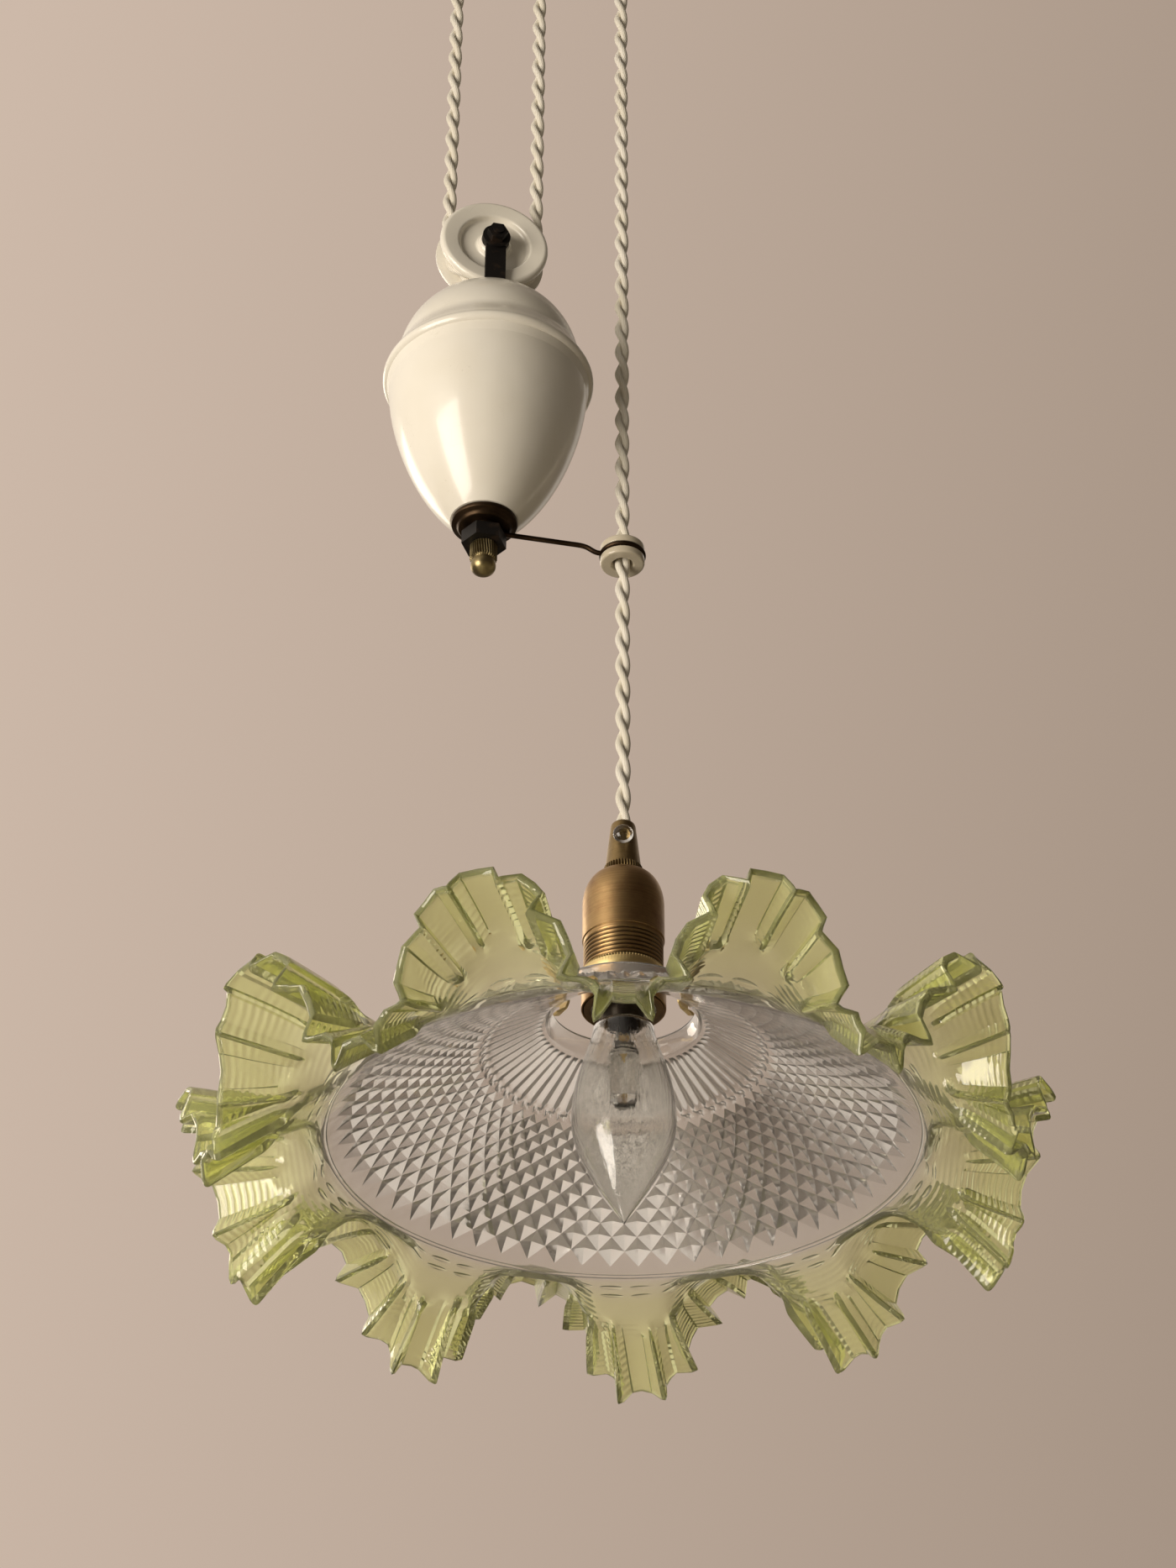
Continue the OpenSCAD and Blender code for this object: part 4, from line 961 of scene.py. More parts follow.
@dataclass
class Counterweight(Assembly):
    """Two glazed porcelain shells on a tie rod, with the nuts and the guide arm below them.

    Heights are from the seat on top of the cap.
    """

    body: Body = Body.WEIGHT
    centre: Point = (*WEIGHT_AXIS, SEAT_LEVEL)
    rod_r: float = 2.55
    seat_r: float = 10.5
    dome_r: float = 35.2
    dome_foot_a: float = 8.0
    step_a: float = 59.0
    step_h: float = 0.45
    rim_r: float = 40.3
    rim_h: float = 6.0
    rim_round: float = 2.4
    cap_h: float = 47.0
    cap_bore: float = 33.0
    wall: float = 5.0
    tongue_r: float = 32.7
    tongue_h: float = 5.0
    pot_r: float = 37.8
    pot_bore: float = 28.5
    floor_t: float = 7.0
    foot_r: float = 12.8
    foot_z: float = -109.0
    cup_r: float = 12.3
    cup_step_r: float = 9.5
    cup_h: float = 3.6
    tie_nut_h: float = 7.8
    acorn_r: float = 5.1
    acorn_h: float = 13.4
    acorn_band_h: float = 6.4
    acorn_teeth: int = 32
    tooth_h: float = 0.5
    wire_r: float = 1.0
    eye_r: float = 6.0
    arm_drop: float = 2.4
    bobbin_r: float = 8.3
    bobbin_waist_r: float = 6.6
    bobbin_waist_h: float = 2.4
    bobbin_h: float = 8.5
    bobbin_bore: float = 3.4

    def cap(self) -> None:
        """Dome with a moulded step near its top, flaring into a rounded rim."""
        low, dome_z = -self.cap_h, -math.sqrt(self.dome_r**2 - self.seat_r**2)
        edge, inner, r = low + self.rim_h, self.dome_r - self.wall, self.rim_round
        top = math.degrees(math.acos(self.seat_r / self.dome_r))
        dome = arc(0, dome_z, self.dome_r, top, self.dome_foot_a, 60)
        # The step stands proud of the dome's line and fades out towards the seat
        angle = np.linspace(top, self.dome_foot_a, len(dome))[:, None]
        proud = self.step_h / (1 + np.exp(-3 * (angle - self.step_a))) * np.clip((top - angle) / 5, 0, 1)
        profile = outline(
            [self.rod_r, 0], [self.seat_r - 1.2, 0], dome + proud * (dome - [0, dome_z]) / self.dome_r,
            bezier([dome[-1], dome[-1] + [0.3, -4], (self.rim_r - 2, edge + 5.5),
                    (self.rim_r - 0.9, edge + r - 0.3)], 12),
            arc(self.rim_r - r, edge, r, 40, -70, 12), [self.pot_r, low],
            [self.cap_bore, low], [self.cap_bore, low + 5.5], [inner, dome_z],
            arc(0, dome_z, inner, 5, 84, 24))
        self.turn("cap_porcelain", "weight_cap", profile, PORCELAIN, Slot.PORCELAIN, 160, 40)

    def pot(self) -> None:
        """Heart-shaped pot that narrows to a small foot."""
        top, foot = -self.cap_h, self.foot_z
        floor = foot + self.floor_t
        profile = outline(
            [self.tongue_r, top + self.tongue_h], [self.tongue_r, top],
            bezier([(self.pot_r, top), (self.pot_r - 0.8, top - 18), (self.foot_r + 15.2, foot + 16),
                    (self.foot_r, foot)], 48),
            [self.rod_r, foot], [self.rod_r, floor],
            bezier([(self.foot_r - 3.8, floor), (self.foot_r + 9.7, floor + 12),
                    (self.pot_bore + 3, top - 19), (self.pot_bore, top)], 20),
            [self.pot_bore, top + self.tongue_h])
        self.turn("pot_porcelain", "weight_pot", profile, PORCELAIN, Slot.PORCELAIN, 160, 40)

    def foot_nuts(self) -> None:
        """Stepped cup washer and acorn nut with a slanting knurled band."""
        z = self.foot_z
        low = z - self.cup_h
        cup = softened(outline(
            [self.rod_r, z], [self.cup_r, z], [self.cup_r, z - self.cup_h / 2],
            [self.cup_step_r + 0.8, z - self.cup_h * 0.65], [self.cup_step_r, low], [self.rod_r, low]), 0.45)
        self.turn("cup_washer_turned", "cup_washer", cup, DARK_BRONZE)
        r, top = self.acorn_r, low - self.tie_nut_h
        foot, tip = top - self.acorn_band_h, top - self.acorn_h
        rows, steps = 26, self.acorn_teeth * 8
        profile = outline(
            [0, top], [r - 0.5, top], np.stack([np.full(rows, r), np.linspace(top - 0.3, foot, rows)], 1),
            [r - 0.9, foot - 0.7], [r - 0.9, foot - 1.2],
            bezier([(r - 0.5, foot - 2), (r, foot - 5), (r * 0.7, tip + 0.6), (0, tip)], 20))
        band = slice(2, 2 + rows)
        wave = np.zeros((len(profile), steps))
        slant = self.acorn_teeth * (around(steps) + 0.02 * (profile[band, 1:] - top))
        wave[band] = -self.tooth_h * comb(slant)
        # The groove below the band is a hair deeper
        wave[band.stop:band.stop + 2] = -0.001
        self.turn("acorn_nut_knurled", "acorn_nut", profile, OLD_BRASS, steps=steps, sharp=30, loop=False,
                  wave=wave, depth=0.8)

    def guide(self) -> None:
        """Bronze wire bent down to the bobbin and round it, with its flat eye on the rod."""
        z, reach = self.foot_z - self.cup_h - self.wire_r, LAMP_AXIS[0] - WEIGHT_AXIS[0]
        ring_z, ring_r = z - self.arm_drop, self.bobbin_waist_r + 0.2 + self.wire_r
        knee = reach - self.bobbin_r - 2 * self.wire_r
        bent = softened(np.array([[5.0, z], [knee - 4, z], [knee, ring_z], [reach - ring_r, ring_z]]),
                        3.0, closed=False)
        path = np.insert(bent, 1, 0.0, 1) + self.centre
        turn = around(64)
        ring = np.stack([reach + ring_r * np.cos(turn), ring_r * np.sin(turn), np.full(64, ring_z)], 1)
        up = np.tile([0.0, 0.0, 1.0], (64, 1))
        eye = softened(outline([self.rod_r, z - 1], [self.eye_r, z - 1], [self.eye_r, z + 1],
                               [self.rod_r, z + 1]), 0.4)
        self.shop.fit("guide_arm_wire", [
            swept(path, self.wire_r * 0.97, 20), swept(ring + self.centre, self.wire_r, 20, up, True),
            turned(eye, 64, centre=self.centre)], DARK_BRONZE, self.body, Slot.AGED_BRASS, "guide_arm")
        r, waist, bore = self.bobbin_r, self.bobbin_waist_r, self.bobbin_bore
        h, half = self.bobbin_h / 2, self.bobbin_waist_h / 2
        upper = outline([waist, half], [r, half], [r, h - 0.5], [r - 0.5, h], [bore + 0.8, h], [bore, h - 2])
        bobbin = softened(outline(upper[::-1] * [1, -1], upper), 0.5)
        self.shop.fit("bobbin_porcelain", [turned(bobbin, centre=(*LAMP_AXIS, SEAT_LEVEL + ring_z))],
                      BOBBIN_PORCELAIN, self.body, Slot.PORCELAIN, "guide_bobbin")

    def build(self) -> None:
        """Build the counterweight's pieces and dress those that keep their shape."""
        self.cap()
        self.pot()
        self.foot_nuts()
        self.guide()
        self.shop.dress(IRON, "weight_strap", "weight_axle", "weight_axle_washer", "weight_axle_nut",
                        "tie_rod", "tie_nut")
        self.shop.dress(SHOT, "weight_ballast")


@dataclass
class CeilingFitting:
    """Spun canopy with the hanger and the cord's strain relief, all with the frame's own shapes."""

    shop: Workshop

    def build(self) -> None:
        """Dress the ceiling end."""
        self.shop.dress(PLATED_STEEL, "ceiling_plate", "hanger_stud", "canopy_nut", "gland_nut")
        self.shop.dress(IRON, "hanger_strap", "hanger_nut", "top_axle", "top_axle_washer", "top_axle_nut")
        self.shop.dress(GRIP_BRONZE, "canopy", "cord_gland")
        self.shop.dress(PLASTIC, "terminal_block")


@dataclass
class Lampholder(Assembly):
    """Turned bronze lampholder with a threaded skirt, brass shade ring, cord grip and small candle lamp.

    Heights are from the shade's bead line.
    """

    body: Body = Body.LAMP
    centre: Point = (*LAMP_AXIS, BEAD_LEVEL)
    low: float = 52.0
    claw: float = 59.1
    ring: float = 60.1
    thread: float = 66.6
    cap: float = 79.0
    tray: float = 83.3
    shoulder: float = 92.9
    grip: float = 106.2
    top: float = 127.9
    cap_r: float = 14.2
    cap_wall: float = 1.15
    skirt_r: float = 13.8
    skirt_bore: float = 12.9
    skirt_mouth_r: float = 11.5
    thread_pitch: float = 1.65
    thread_depth: float = 0.55
    ring_r: float = 14.75
    ring_teeth: int = 88
    lower_ring_r: float = 14.5
    grip_r: float = 6.8
    grip_top_r: float = 4.15
    grip_bore: float = 3.2
    grip_neck_r: float = 4.9
    grip_teeth: int = 40
    grip_tooth_h: float = 0.55
    screw_up: float = 13.2
    screw_r: float = 1.75
    head_r: float = 3.55
    bulb_t: float = 0.8
    bulb_r: float = 17.5
    bulb_neck_r: float = 10.5
    bulb_seat_r: float = 6.8
    bulb_top: float = 46.5
    bulb_tip: float = -29.2
    capsule_r: float = 5.0
    capsule_top: float = 36.0
    capsule_len: float = 17.0

    def shell(self) -> None:
        """Domed cap, its wall an unbroken curve up to the flat under the cord grip."""
        r, inner, roof = self.cap_r, self.cap_r - self.cap_wall, self.grip - self.cap_wall
        neck, turn = self.grip_neck_r + 0.05, self.shoulder
        profile = outline(
            [inner, self.cap], [r - 0.3, self.cap], [r, self.cap + 0.3],
            np.stack([np.full(12, r), np.linspace(self.cap + 1, turn - 1, 12)], 1),
            bezier([(r, turn), (r, turn + 7.4), (11.5, self.grip - 1.4), (7.5, self.grip)], 28),
            [neck, self.grip], [neck, roof],
            bezier([(6.5, roof), (10.5, roof - 1.4), (inner, turn + 6.4), (inner, turn - 1)], 14))
        self.turn("cap_spun", "lampholder_cap", profile, BRONZE, steps=128)

    def skirt(self) -> None:
        """Skirt with an outer thread: the radius falls by a rounded V that climbs a pitch each turn."""
        rows, steps = 150, 96
        z = np.linspace(self.low - 0.5, self.cap, rows)[:, None]
        vee = np.abs(2 * ((z / self.thread_pitch - around(steps) / (2 * np.pi)) % 1) - 1) ** 1.2
        fade = np.clip((self.cap - 0.6 - z) / 1.2, 0, 1)
        bore, mouth = self.skirt_bore, self.skirt_mouth_r
        inside = outline([bore + 0.05, self.cap], [bore + 0.05, self.cap + 6], [bore - 0.7, self.cap + 6],
                         [bore - 0.7, self.tray], [bore, self.tray], [bore, self.low + 0.5],
                         [mouth, self.low + 0.5], [mouth, self.low - 0.5])
        # The inside is 0.35 mm further in, and that far down in tint, which paints shade on it
        wave = np.full((rows + len(inside), steps), -0.35)
        wave[:rows] = -self.thread_depth * vee * fade
        profile = outline(np.insert(z, 0, self.skirt_r, 1), inside)
        self.turn("skirt_threaded", "lampholder_skirt", profile, BRONZE, steps=steps, sharp=60, wave=wave,
                  depth=0.6)

    def rings(self) -> None:
        """Brass ring whose two edges are knurled, and the plain ring below the claw."""
        bore, steps, height = self.skirt_r + 0.05, self.ring_teeth * 6, self.thread - self.ring
        edge = np.array([[-0.75, 0.0], [-0.45, 0.15], [-0.2, 0.5], [-0.1, 1.0], [0.0, 1.25]])
        edge = edge + [self.ring_r, 0]
        profile = outline([bore, 0], edge, [self.ring_r, height / 2],
                          (edge * [1, -1] + [0, height])[::-1], [bore, height]) + [0, self.ring]
        depth = np.array([0, 0.5, 0.5, 0.45, 0.4, 0, 0, 0, 0.4, 0.45, 0.5, 0.5, 0])[:, None]
        self.turn("shade_ring_knurled", "shade_ring", profile, YELLOW_BRASS, Slot.BRIGHT_BRASS, steps, 50,
                  wave=-depth * comb(self.ring_teeth * around(steps)), depth=0.55)
        r = self.lower_ring_r
        low = softened(outline([bore, self.low], [r, self.low], [r, self.claw], [bore, self.claw]), 0.5)
        self.turn("lower_ring_turned", "lower_ring", low, BRONZE)

    def cord_grip(self) -> None:
        """Cone with a knurled base band."""
        bore, neck, band, tip = self.grip_bore, self.grip_neck_r, self.grip_r, self.grip_top_r
        low, z = self.grip - 4.75, self.grip
        profile = outline(
            [bore, low], [neck, low], [neck, z], [band - 0.4, z], [band, z + 0.4], [band, z + 1.6],
            [band, z + 3.1], [band - 0.4, z + 3.5], [band - 0.6, z + 4.0], [tip + 0.25, self.top - 1.2],
            [tip, self.top - 0.5], [tip - 0.5, self.top], [bore, self.top])
        steps = self.grip_teeth * 8
        wave = np.zeros((len(profile), steps))
        wave[4:7] = -self.grip_tooth_h * comb(self.grip_teeth * around(steps))
        self.turn("cord_grip_turned", "cord_grip", profile, GRIP_BRONZE, steps=steps, sharp=50, wave=wave,
                  depth=0.95)

    def grip_screw(self) -> None:
        """Clear screw with a domed head, turned about X and then swung to the front."""
        shank, head = self.screw_r, self.head_r
        profile = outline([0, 3.2], [shank, 3.2], [shank, 6.4], [head - 0.2, 6.4], [head, 6.8], [head, 7.5],
                          bezier([(head - 0.15, 7.8), (head - 0.55, 9.0), (1.6, 9.8), (0, 9.8)], 12))
        t, r = around(48), profile[:, :1]
        x, y, z = np.repeat(profile[:, 1:], 48, 1), r * np.cos(t), r * np.sin(t)
        cos, sin = math.cos(math.radians(FRONT_ANGLE)), math.sin(math.radians(FRONT_ANGLE))
        grid = np.stack([x * cos - y * sin, x * sin + y * cos, z + self.grip + self.screw_up], -1)
        self.shop.fit("grip_screw_clear", [Patch(grid + self.centre)], CLEAR_PLASTIC, self.body,
                      Slot.PLASTIC, "grip_screw", 40)

    def bulb_side(self, inset: float) -> Array:
        """Outline of the bulb from its seat to its tip.

        Args:
            inset: distance in from its outer face.

        Returns:
            Array of points.
        """
        top, tip, seat = self.bulb_top, self.bulb_tip + inset, self.bulb_seat_r - inset
        neck, mid = self.bulb_neck_r - inset, self.bulb_r - inset
        return outline(
            [seat, top],
            bezier([(seat, top - 0.6), (seat + 2.1, top - 1), (neck, top - 1.6), (neck, top - 3 - inset)], 8),
            bezier([(neck + 0.3, top - 5), (neck + 3, top - 15), (mid, 22.6), (mid, 10.6)], 22),
            bezier([(mid, 8.6), (mid, -5.4), (3.4, tip + 7), (0, tip)], 30))

    def lamp(self) -> None:
        """Candle lamp: thin drawn bulb about a small capsule."""
        bulb = outline(self.bulb_side(self.bulb_t)[::-1], self.bulb_side(0.0))
        self.turn("bulb_drawn", "bulb_glass", bulb, BULB_GLASS, Slot.BULB, sharp=40, loop=False)
        r, top = self.capsule_r, self.capsule_top
        low = top - self.capsule_len
        capsule = outline([0, top], [r - 1.4, top], arc(r - 1, top - 1, 1, 80, 0, 4), [r, low],
                          arc(0, low, r, -5, -90, 12)[:-1], [0, low - r])
        self.turn("capsule_clear", "bulb_capsule", capsule, BULB_GLASS, Slot.BULB, 48, 40, loop=False)

    def build(self) -> None:
        """Build the lampholder's pieces and dress those that keep their shape."""
        self.shell()
        self.skirt()
        self.rings()
        self.cord_grip()
        self.grip_screw()
        self.lamp()
        self.shop.dress(YELLOW_BRASS, "shade_claw", "screw_shell", "contact_tongue", "lamp_terminals")
        self.shop.dress(PLATED_STEEL, "grip_nut", "bulb_supports")
        # The lamp's cap gets the darker metal as painted shade
        self.shop.dress(SHADED_CAP_METAL, "bulb_cap")
        self.shop.dress(CERAMIC, "socket_insulator")


@dataclass
class Rings:
    """Rings of one closed surface in order, with what each carries."""

    turn: Array
    points: list[Array] = field(default_factory=list)
    tints: list[Array] = field(default_factory=list)
    marks: list[Array] = field(default_factory=list)
    crosses: list[Array] = field(default_factory=list)
    turns: list[Array] = field(default_factory=list)

    def put(self, points: Array, tint: Array | float = 0.0, along: Array | float = 0.0,
            cross: Array | None = None, turn: Array | None = None) -> None:
        """Append rings.

        Args:
            points: rings by columns by 3.
            tint: how green the glass is.
            along: distance along the wall in mm, one a ring.
            cross: which cells are cut along their other diagonal.
            turn: angles of the columns, where they aren't the equal ones.
        """
        size = points.shape[:2]
        self.points.append(points)
        self.tints.append(np.broadcast_to(tint, size))
        self.marks.append(np.broadcast_to(along, size[:1]))
        self.crosses.append(np.zeros(size, bool) if cross is None else cross)
        self.turns.append(np.broadcast_to(self.turn if turn is None else turn, size))

    def patch(self, cells: int, centre: Point) -> Patch:
        """Join the rings, with a uv of cells round and mm along.

        Args:
            cells: number of cells in a turn.
            centre: place of the rings' origin.

        Returns:
            The surface.
        """
        u = np.concatenate(self.turns) * cells / 360
        u = np.concatenate([u, u[:, :1] + cells], 1)
        uv = np.stack(np.broadcast_arrays(u, np.concatenate(self.marks)[:, None]), -1)
        return Patch(np.concatenate(self.points) + centre, loop=True, cross=np.concatenate(self.crosses),
                     uv=uv, tint=np.concatenate(self.tints))


@dataclass
class Shade(Assembly):
    """Pressed cone of diamonds and flutes, with a skirt that is waved and crimped.

    All heights are from the bead line. Columns stand 0.75 degrees apart from the front, eight to a cell.
    """

    body: Body = Body.LAMP
    centre: Point = (*LAMP_AXIS, BEAD_LEVEL)
    cells: int = 60
    per_cell: int = 8
    waves: int = 10
    glass_t: float = 3.0
    bead_r: float = 98.0
    bead_half_w: float = 0.8
    bead_h: float = 0.7
    band_r: float = 94.5
    flute_r: float = 48.0
    flute_h: float = 32.0
    flute_rib_h: float = 1.5
    scallop_h: float = 0.9
    neck_r: float = 24.9
    neck_h: float = 45.5
    neck_len: float = 9.0
    diamond_h: float = 3.2
    rows: int = 12
    rim_r: float = 137.0
    rim_swing: float = 5.0
    rim_offset: float = 3.0
    rim_offset_a: float = 167.0
    rim_z: float = -7.0
    rim_z_swing: float = 22.0
    roundness: float = 0.6
    lean: float = 1.3
    knee: float = 20.0
    lobe_lift: float = 22.0
    lobe_start: float = 0.25
    crimp_depth: float = 6.2
    crimp_start: float = 0.38
    crimp_run: float = 0.22
    crimp_inner: float = 0.55
    ridges: int = 80
    bunching: float = 0.38
    ridge_width: float = 0.15
    ridge_tip: float = 0.065
    crowding: float = 1.75
    lip: float = 0.028
    skirt_mm: float = 48.0

    def __post_init__(self) -> None:
        """Work out the angles of the columns and of the cone, and a table of ridges by angle."""
        self.cols = self.cells * self.per_cell
        self.turn_a = np.arange(self.cols) * 360 / self.cols
        self.front = np.radians(FRONT_ANGLE + self.turn_a)
        self.table = np.linspace(-9, 369, 8000)
        self.table_order = self.order(self.table)
        self.cone_a = math.atan(self.flute_h / (self.bead_r - self.flute_r))
        self.flute_a = math.atan((self.neck_h - self.flute_h) / (self.flute_r - self.neck_r))

    def wave(self, b: Array) -> Array:
        """c sqrt(1 + k) / sqrt(c^2 + k) with c the cosine of ten times b and k the roundness."""
        c = np.cos(np.radians(self.waves * b))
        return c * math.sqrt(1 + self.roundness) / np.sqrt(c * c + self.roundness)

    def skirt(self, b: Array, u: Array) -> Array:
        """Skirt without crimps: (1-u)^2 p + 2u(1-u) q + u^2 s, turned to its angle.

        Args:
            b: angle from the front in degrees.
            u: share of the way from the bead line to the rim.

        Returns:
            Points, with p at the bead line, q on along the cone, but lifted outside it in the lobes that
            stand up, and s on the waved rim.
        """
        w = self.wave(b)
        a = np.radians(FRONT_ANGLE + b - self.lean * (1 - np.cos(np.radians(b))) * u)
        off = self.rim_offset * np.cos(a - math.radians(self.rim_offset_a))
        q_r = self.bead_r + self.knee * math.cos(self.cone_a)
        q_z = -self.knee * math.sin(self.cone_a)
        lift = self.lobe_lift * ((1 - w) / 2) ** 2 * eased(np.clip(u / self.lobe_start, 0, 1))
        rim = self.rim_r - self.rim_swing * w + off
        r = (1 - u) ** 2 * self.bead_r + 2 * u * (1 - u) * q_r + u * u * rim
        z = 2 * u * (1 - u) * (q_z + lift) + u * u * (self.rim_z - self.rim_z_swing * w)
        return np.stack([r * np.cos(a), r * np.sin(a), z], -1)

    def normal(self, b: Array, u: Array) -> Array:
        """Unit cross product of the skirt's two directions, which points up.

        Args:
            b: angle from the front in degrees.
            u: share of the way from the bead line to the rim.

        Returns:
            Unit vectors.
        """
        across = self.skirt(b + 0.5, u) - self.skirt(b - 0.5, u)
        out = self.skirt(b, u + 0.01) - self.skirt(b, u - 0.01)
        n = np.cross(out, across)
        return n / np.linalg.norm(n, axis=-1, keepdims=True)

    def order(self, b: Array) -> Array:
        """Number of ridges up to angle b: n (b - k sin(20 b) / 20) / 360. They crowd on the waves' flanks."""
        bunch = self.bunching * np.degrees(np.sin(np.radians(2 * self.waves * b))) / (2 * self.waves)
        return self.ridges * (b - bunch) / 360

    def frill(self, b: Array, u: Array, t: Array) -> tuple[Array, Array]:
        """Crimped skirt: skirt(b, v) + (t + d/2 - d e) normal, with e = exp(-(x / w)^2) on the ridges.

        The depth d grows from the crimp's start, and x runs across each ridge from its middle.

        Args:
            b: angle from the front in degrees.
            u: share of the way from the bead line to the rim.
            t: height above the lower face in mm.

        Returns:
            Points, and how far each lies on a ridge.
        """
        # Each crimp was pressed by hand, so its depth and its inner end differ a little
        order = self.order(b)
        cell = np.floor(order)
        hand = 1 + 0.13 * np.sin(2.4 * cell) + 0.06 * np.sin(5.1 * cell + 1)
        begin = self.crimp_start + 0.03 * np.sin(3.7 * cell + 0.5)
        g = np.clip((u - begin) / self.crimp_run, 0, 1)
        d = hand * self.crimp_depth * eased(g) * (self.crimp_inner + (1 - self.crimp_inner) * u)
        e = np.exp(-(((order - cell - 0.5) / self.ridge_width) ** 2))
        v = u * (1 + self.ridge_tip * (np.sqrt(e) - 0.4) * u * d / self.crimp_depth)
        return self.skirt(b, v) + (t + d / 2 - d * e)[..., None] * self.normal(b, v), e * g

    def columns(self, u: Array) -> Array:
        """Angles of the columns, drawn together on the ridges as u grows: y becomes sign(y) |y|^k.

        Args:
            u: share of the way from the bead line to the rim, one a ring.

        Returns:
            Angles in degrees, rings by columns.
        """
        place = np.arange(self.cols) * self.ridges / self.cols
        number = np.floor(place)
        y = 2 * (place - number) - 1
        near = number + 0.5 + 0.5 * np.sign(y) * np.abs(y) ** self.crowding
        drawn = np.interp(near, self.table_order, self.table)
        return self.turn_a + (drawn - self.turn_a) * np.clip((u - 0.02) / 0.26, 0, 1)[:, None]

    def standing(self, r: Array, z: Array) -> Array:
        """Points at radius r and height z on every column."""
        r, z = np.broadcast_arrays(r, z, np.zeros(self.cols))[:2]
        return np.stack([r * np.cos(self.front), r * np.sin(self.front), z], -1)

    def cone(self, r: Array, h: Array) -> Array:
        """Outer face of the cone, raised by the glass and by a height along the face's normal.

        Args:
            r: radius on the lower face.
            h: height above the plain outer face.

        Returns:
            Points, rings by columns.
        """
        z = self.flute_h * (self.bead_r - r) / (self.bead_r - self.flute_r)
        up = self.glass_t + h
        return self.standing(r + up * math.sin(self.cone_a), z + up * math.cos(self.cone_a))

    def skirt_rings(self, rings: Rings, u: Array, t: Array | float, face: float = 1.0) -> None:
        """Put rings of the skirt, greener from the bead line to the rim and on the ridges.

        Args:
            rings: the rings so far.
            u: share of the way from the bead line to the rim, one a ring.
            t: height above the lower face.
            face: one, or minus one on the lower face, which counts its distance downwards.
        """
        b = self.columns(u)
        uu, tt = (np.broadcast_to(np.reshape(v, (-1, 1)), b.shape) for v in (u, t))
        points, ridge = self.frill(b, uu, tt)
        base = 0.2 + 0.55 * np.clip(uu / 0.25, 0, 1) + 0.25 * np.clip((uu - 0.3) / 0.4, 0, 1)
        rings.put(points, np.clip(base + 0.1 * ridge, 0, 1), face * u * self.skirt_mm, turn=b)

    def lower_face(self, rings: Rings) -> None:
        """Smooth face from the neck down the cone to the bead line.

        Args:
            rings: the rings so far.
        """
        neck, n_h = self.neck_r, self.neck_h
        top = n_h + self.neck_len
        slope = np.linspace(0.12, 1, 5)[:, None] * [self.flute_r - neck, self.flute_h - n_h] + [neck, n_h]
        face = np.linspace(0.06, 1, 7)[:, None] * [self.bead_r - self.flute_r, -self.flute_h]
        profile = outline([neck - 0.2, top - 0.6], [neck - 0.4, top - 2], [neck - 0.2, n_h + 3],
                          [neck + 0.1, n_h + 0.8], [neck + 1.0, n_h - 0.6], slope,
                          face + [self.flute_r, self.flute_h])
        rings.put(self.standing(profile[:, :1], profile[:, 1:]))

    def bead(self, rings: Rings) -> None:
        """Half-round bead of the upper face: height times sqrt(1 - (s / half width)^2) across it.

        Args:
            rings: the rings so far.
        """
        s = np.linspace(self.bead_half_w, -self.bead_half_w, 7)[:, None]
        up = self.glass_t + self.bead_h * np.sqrt(np.clip(1 - (s / self.bead_half_w) ** 2, 0, 1))
        cos, sin = math.cos(self.cone_a), math.sin(self.cone_a)
        rings.put(self.standing(self.bead_r + s * cos + up * sin, up * cos - s * sin), 0.12)

    def diamonds(self, rings: Rings) -> None:
        """Pyramids on a lattice: h (1 - m)(1 + 0.15 m), m the larger distance along p + q and p - q.

        Args:
            rings: the rings so far.
        """
        step = self.per_cell // 2
        q = np.linspace(self.rows, 0, self.rows * step + 1)[:, None]
        p = (np.arange(self.cols) / step)[None]
        s, t = p + q, p - q
        s0, t0 = 2 * np.round(s / 2), 2 * np.round(t / 2)
        m = np.maximum(np.abs(s - s0), np.abs(t - t0))
        row = (s0 - t0) / 2
        r = self.flute_r * (self.band_r / self.flute_r) ** (q / self.rows)
        height = self.diamond_h * (r / self.band_r) ** 0.7 * (1 - m) * (1 + 0.15 * m)
        height = np.where((row > 0.5) & (row < self.rows - 0.5), height, 0)
        cross = (np.floor(p + 0.01) + np.floor(q[1:] + 0.01)) % 2 == 1
        rings.put(self.cone(r, height), cross=np.concatenate([cross, cross[-1:]]))

    def flutes(self, rings: Rings) -> None:
        """Scalloped bead where the flutes end, then rounded flutes that run up to the neck.

        With k from 0 to 1 up the wall and c the cosine over a cell, the bead is exp(-((k - 0.06 -
        0.03 c) / 0.035)^2) and a rib is (1 + c) / 2, faded out at both ends.

        Args:
            rings: the rings so far.
        """
        c, k = np.cos(np.radians(self.cells * self.turn_a)), np.linspace(0.02, 1, 26)[:, None]
        start = self.cone(np.array([[self.flute_r - 0.4]]), 0.0)[0]
        start_r, start_z = np.hypot(start[:, 0], start[:, 1]), start[:, 2]
        end_r, end_z = self.neck_r + self.glass_t + 1, self.neck_h + self.glass_t * 0.7
        scallop = self.scallop_h * np.exp(-(((k - 0.06 - 0.03 * c) / 0.035) ** 2))
        rib = self.flute_rib_h * (0.5 + 0.5 * c) * np.clip((k - 0.1) / 0.08, 0, 1)
        rib = rib * np.clip((1 - k) / 0.06, 0, 1)
        up = np.maximum(scallop, rib)
        rings.put(self.standing(start_r + (end_r - start_r) * k + up * math.sin(self.flute_a),
                                start_z + (end_z - start_z) * k + up * math.cos(self.flute_a)))

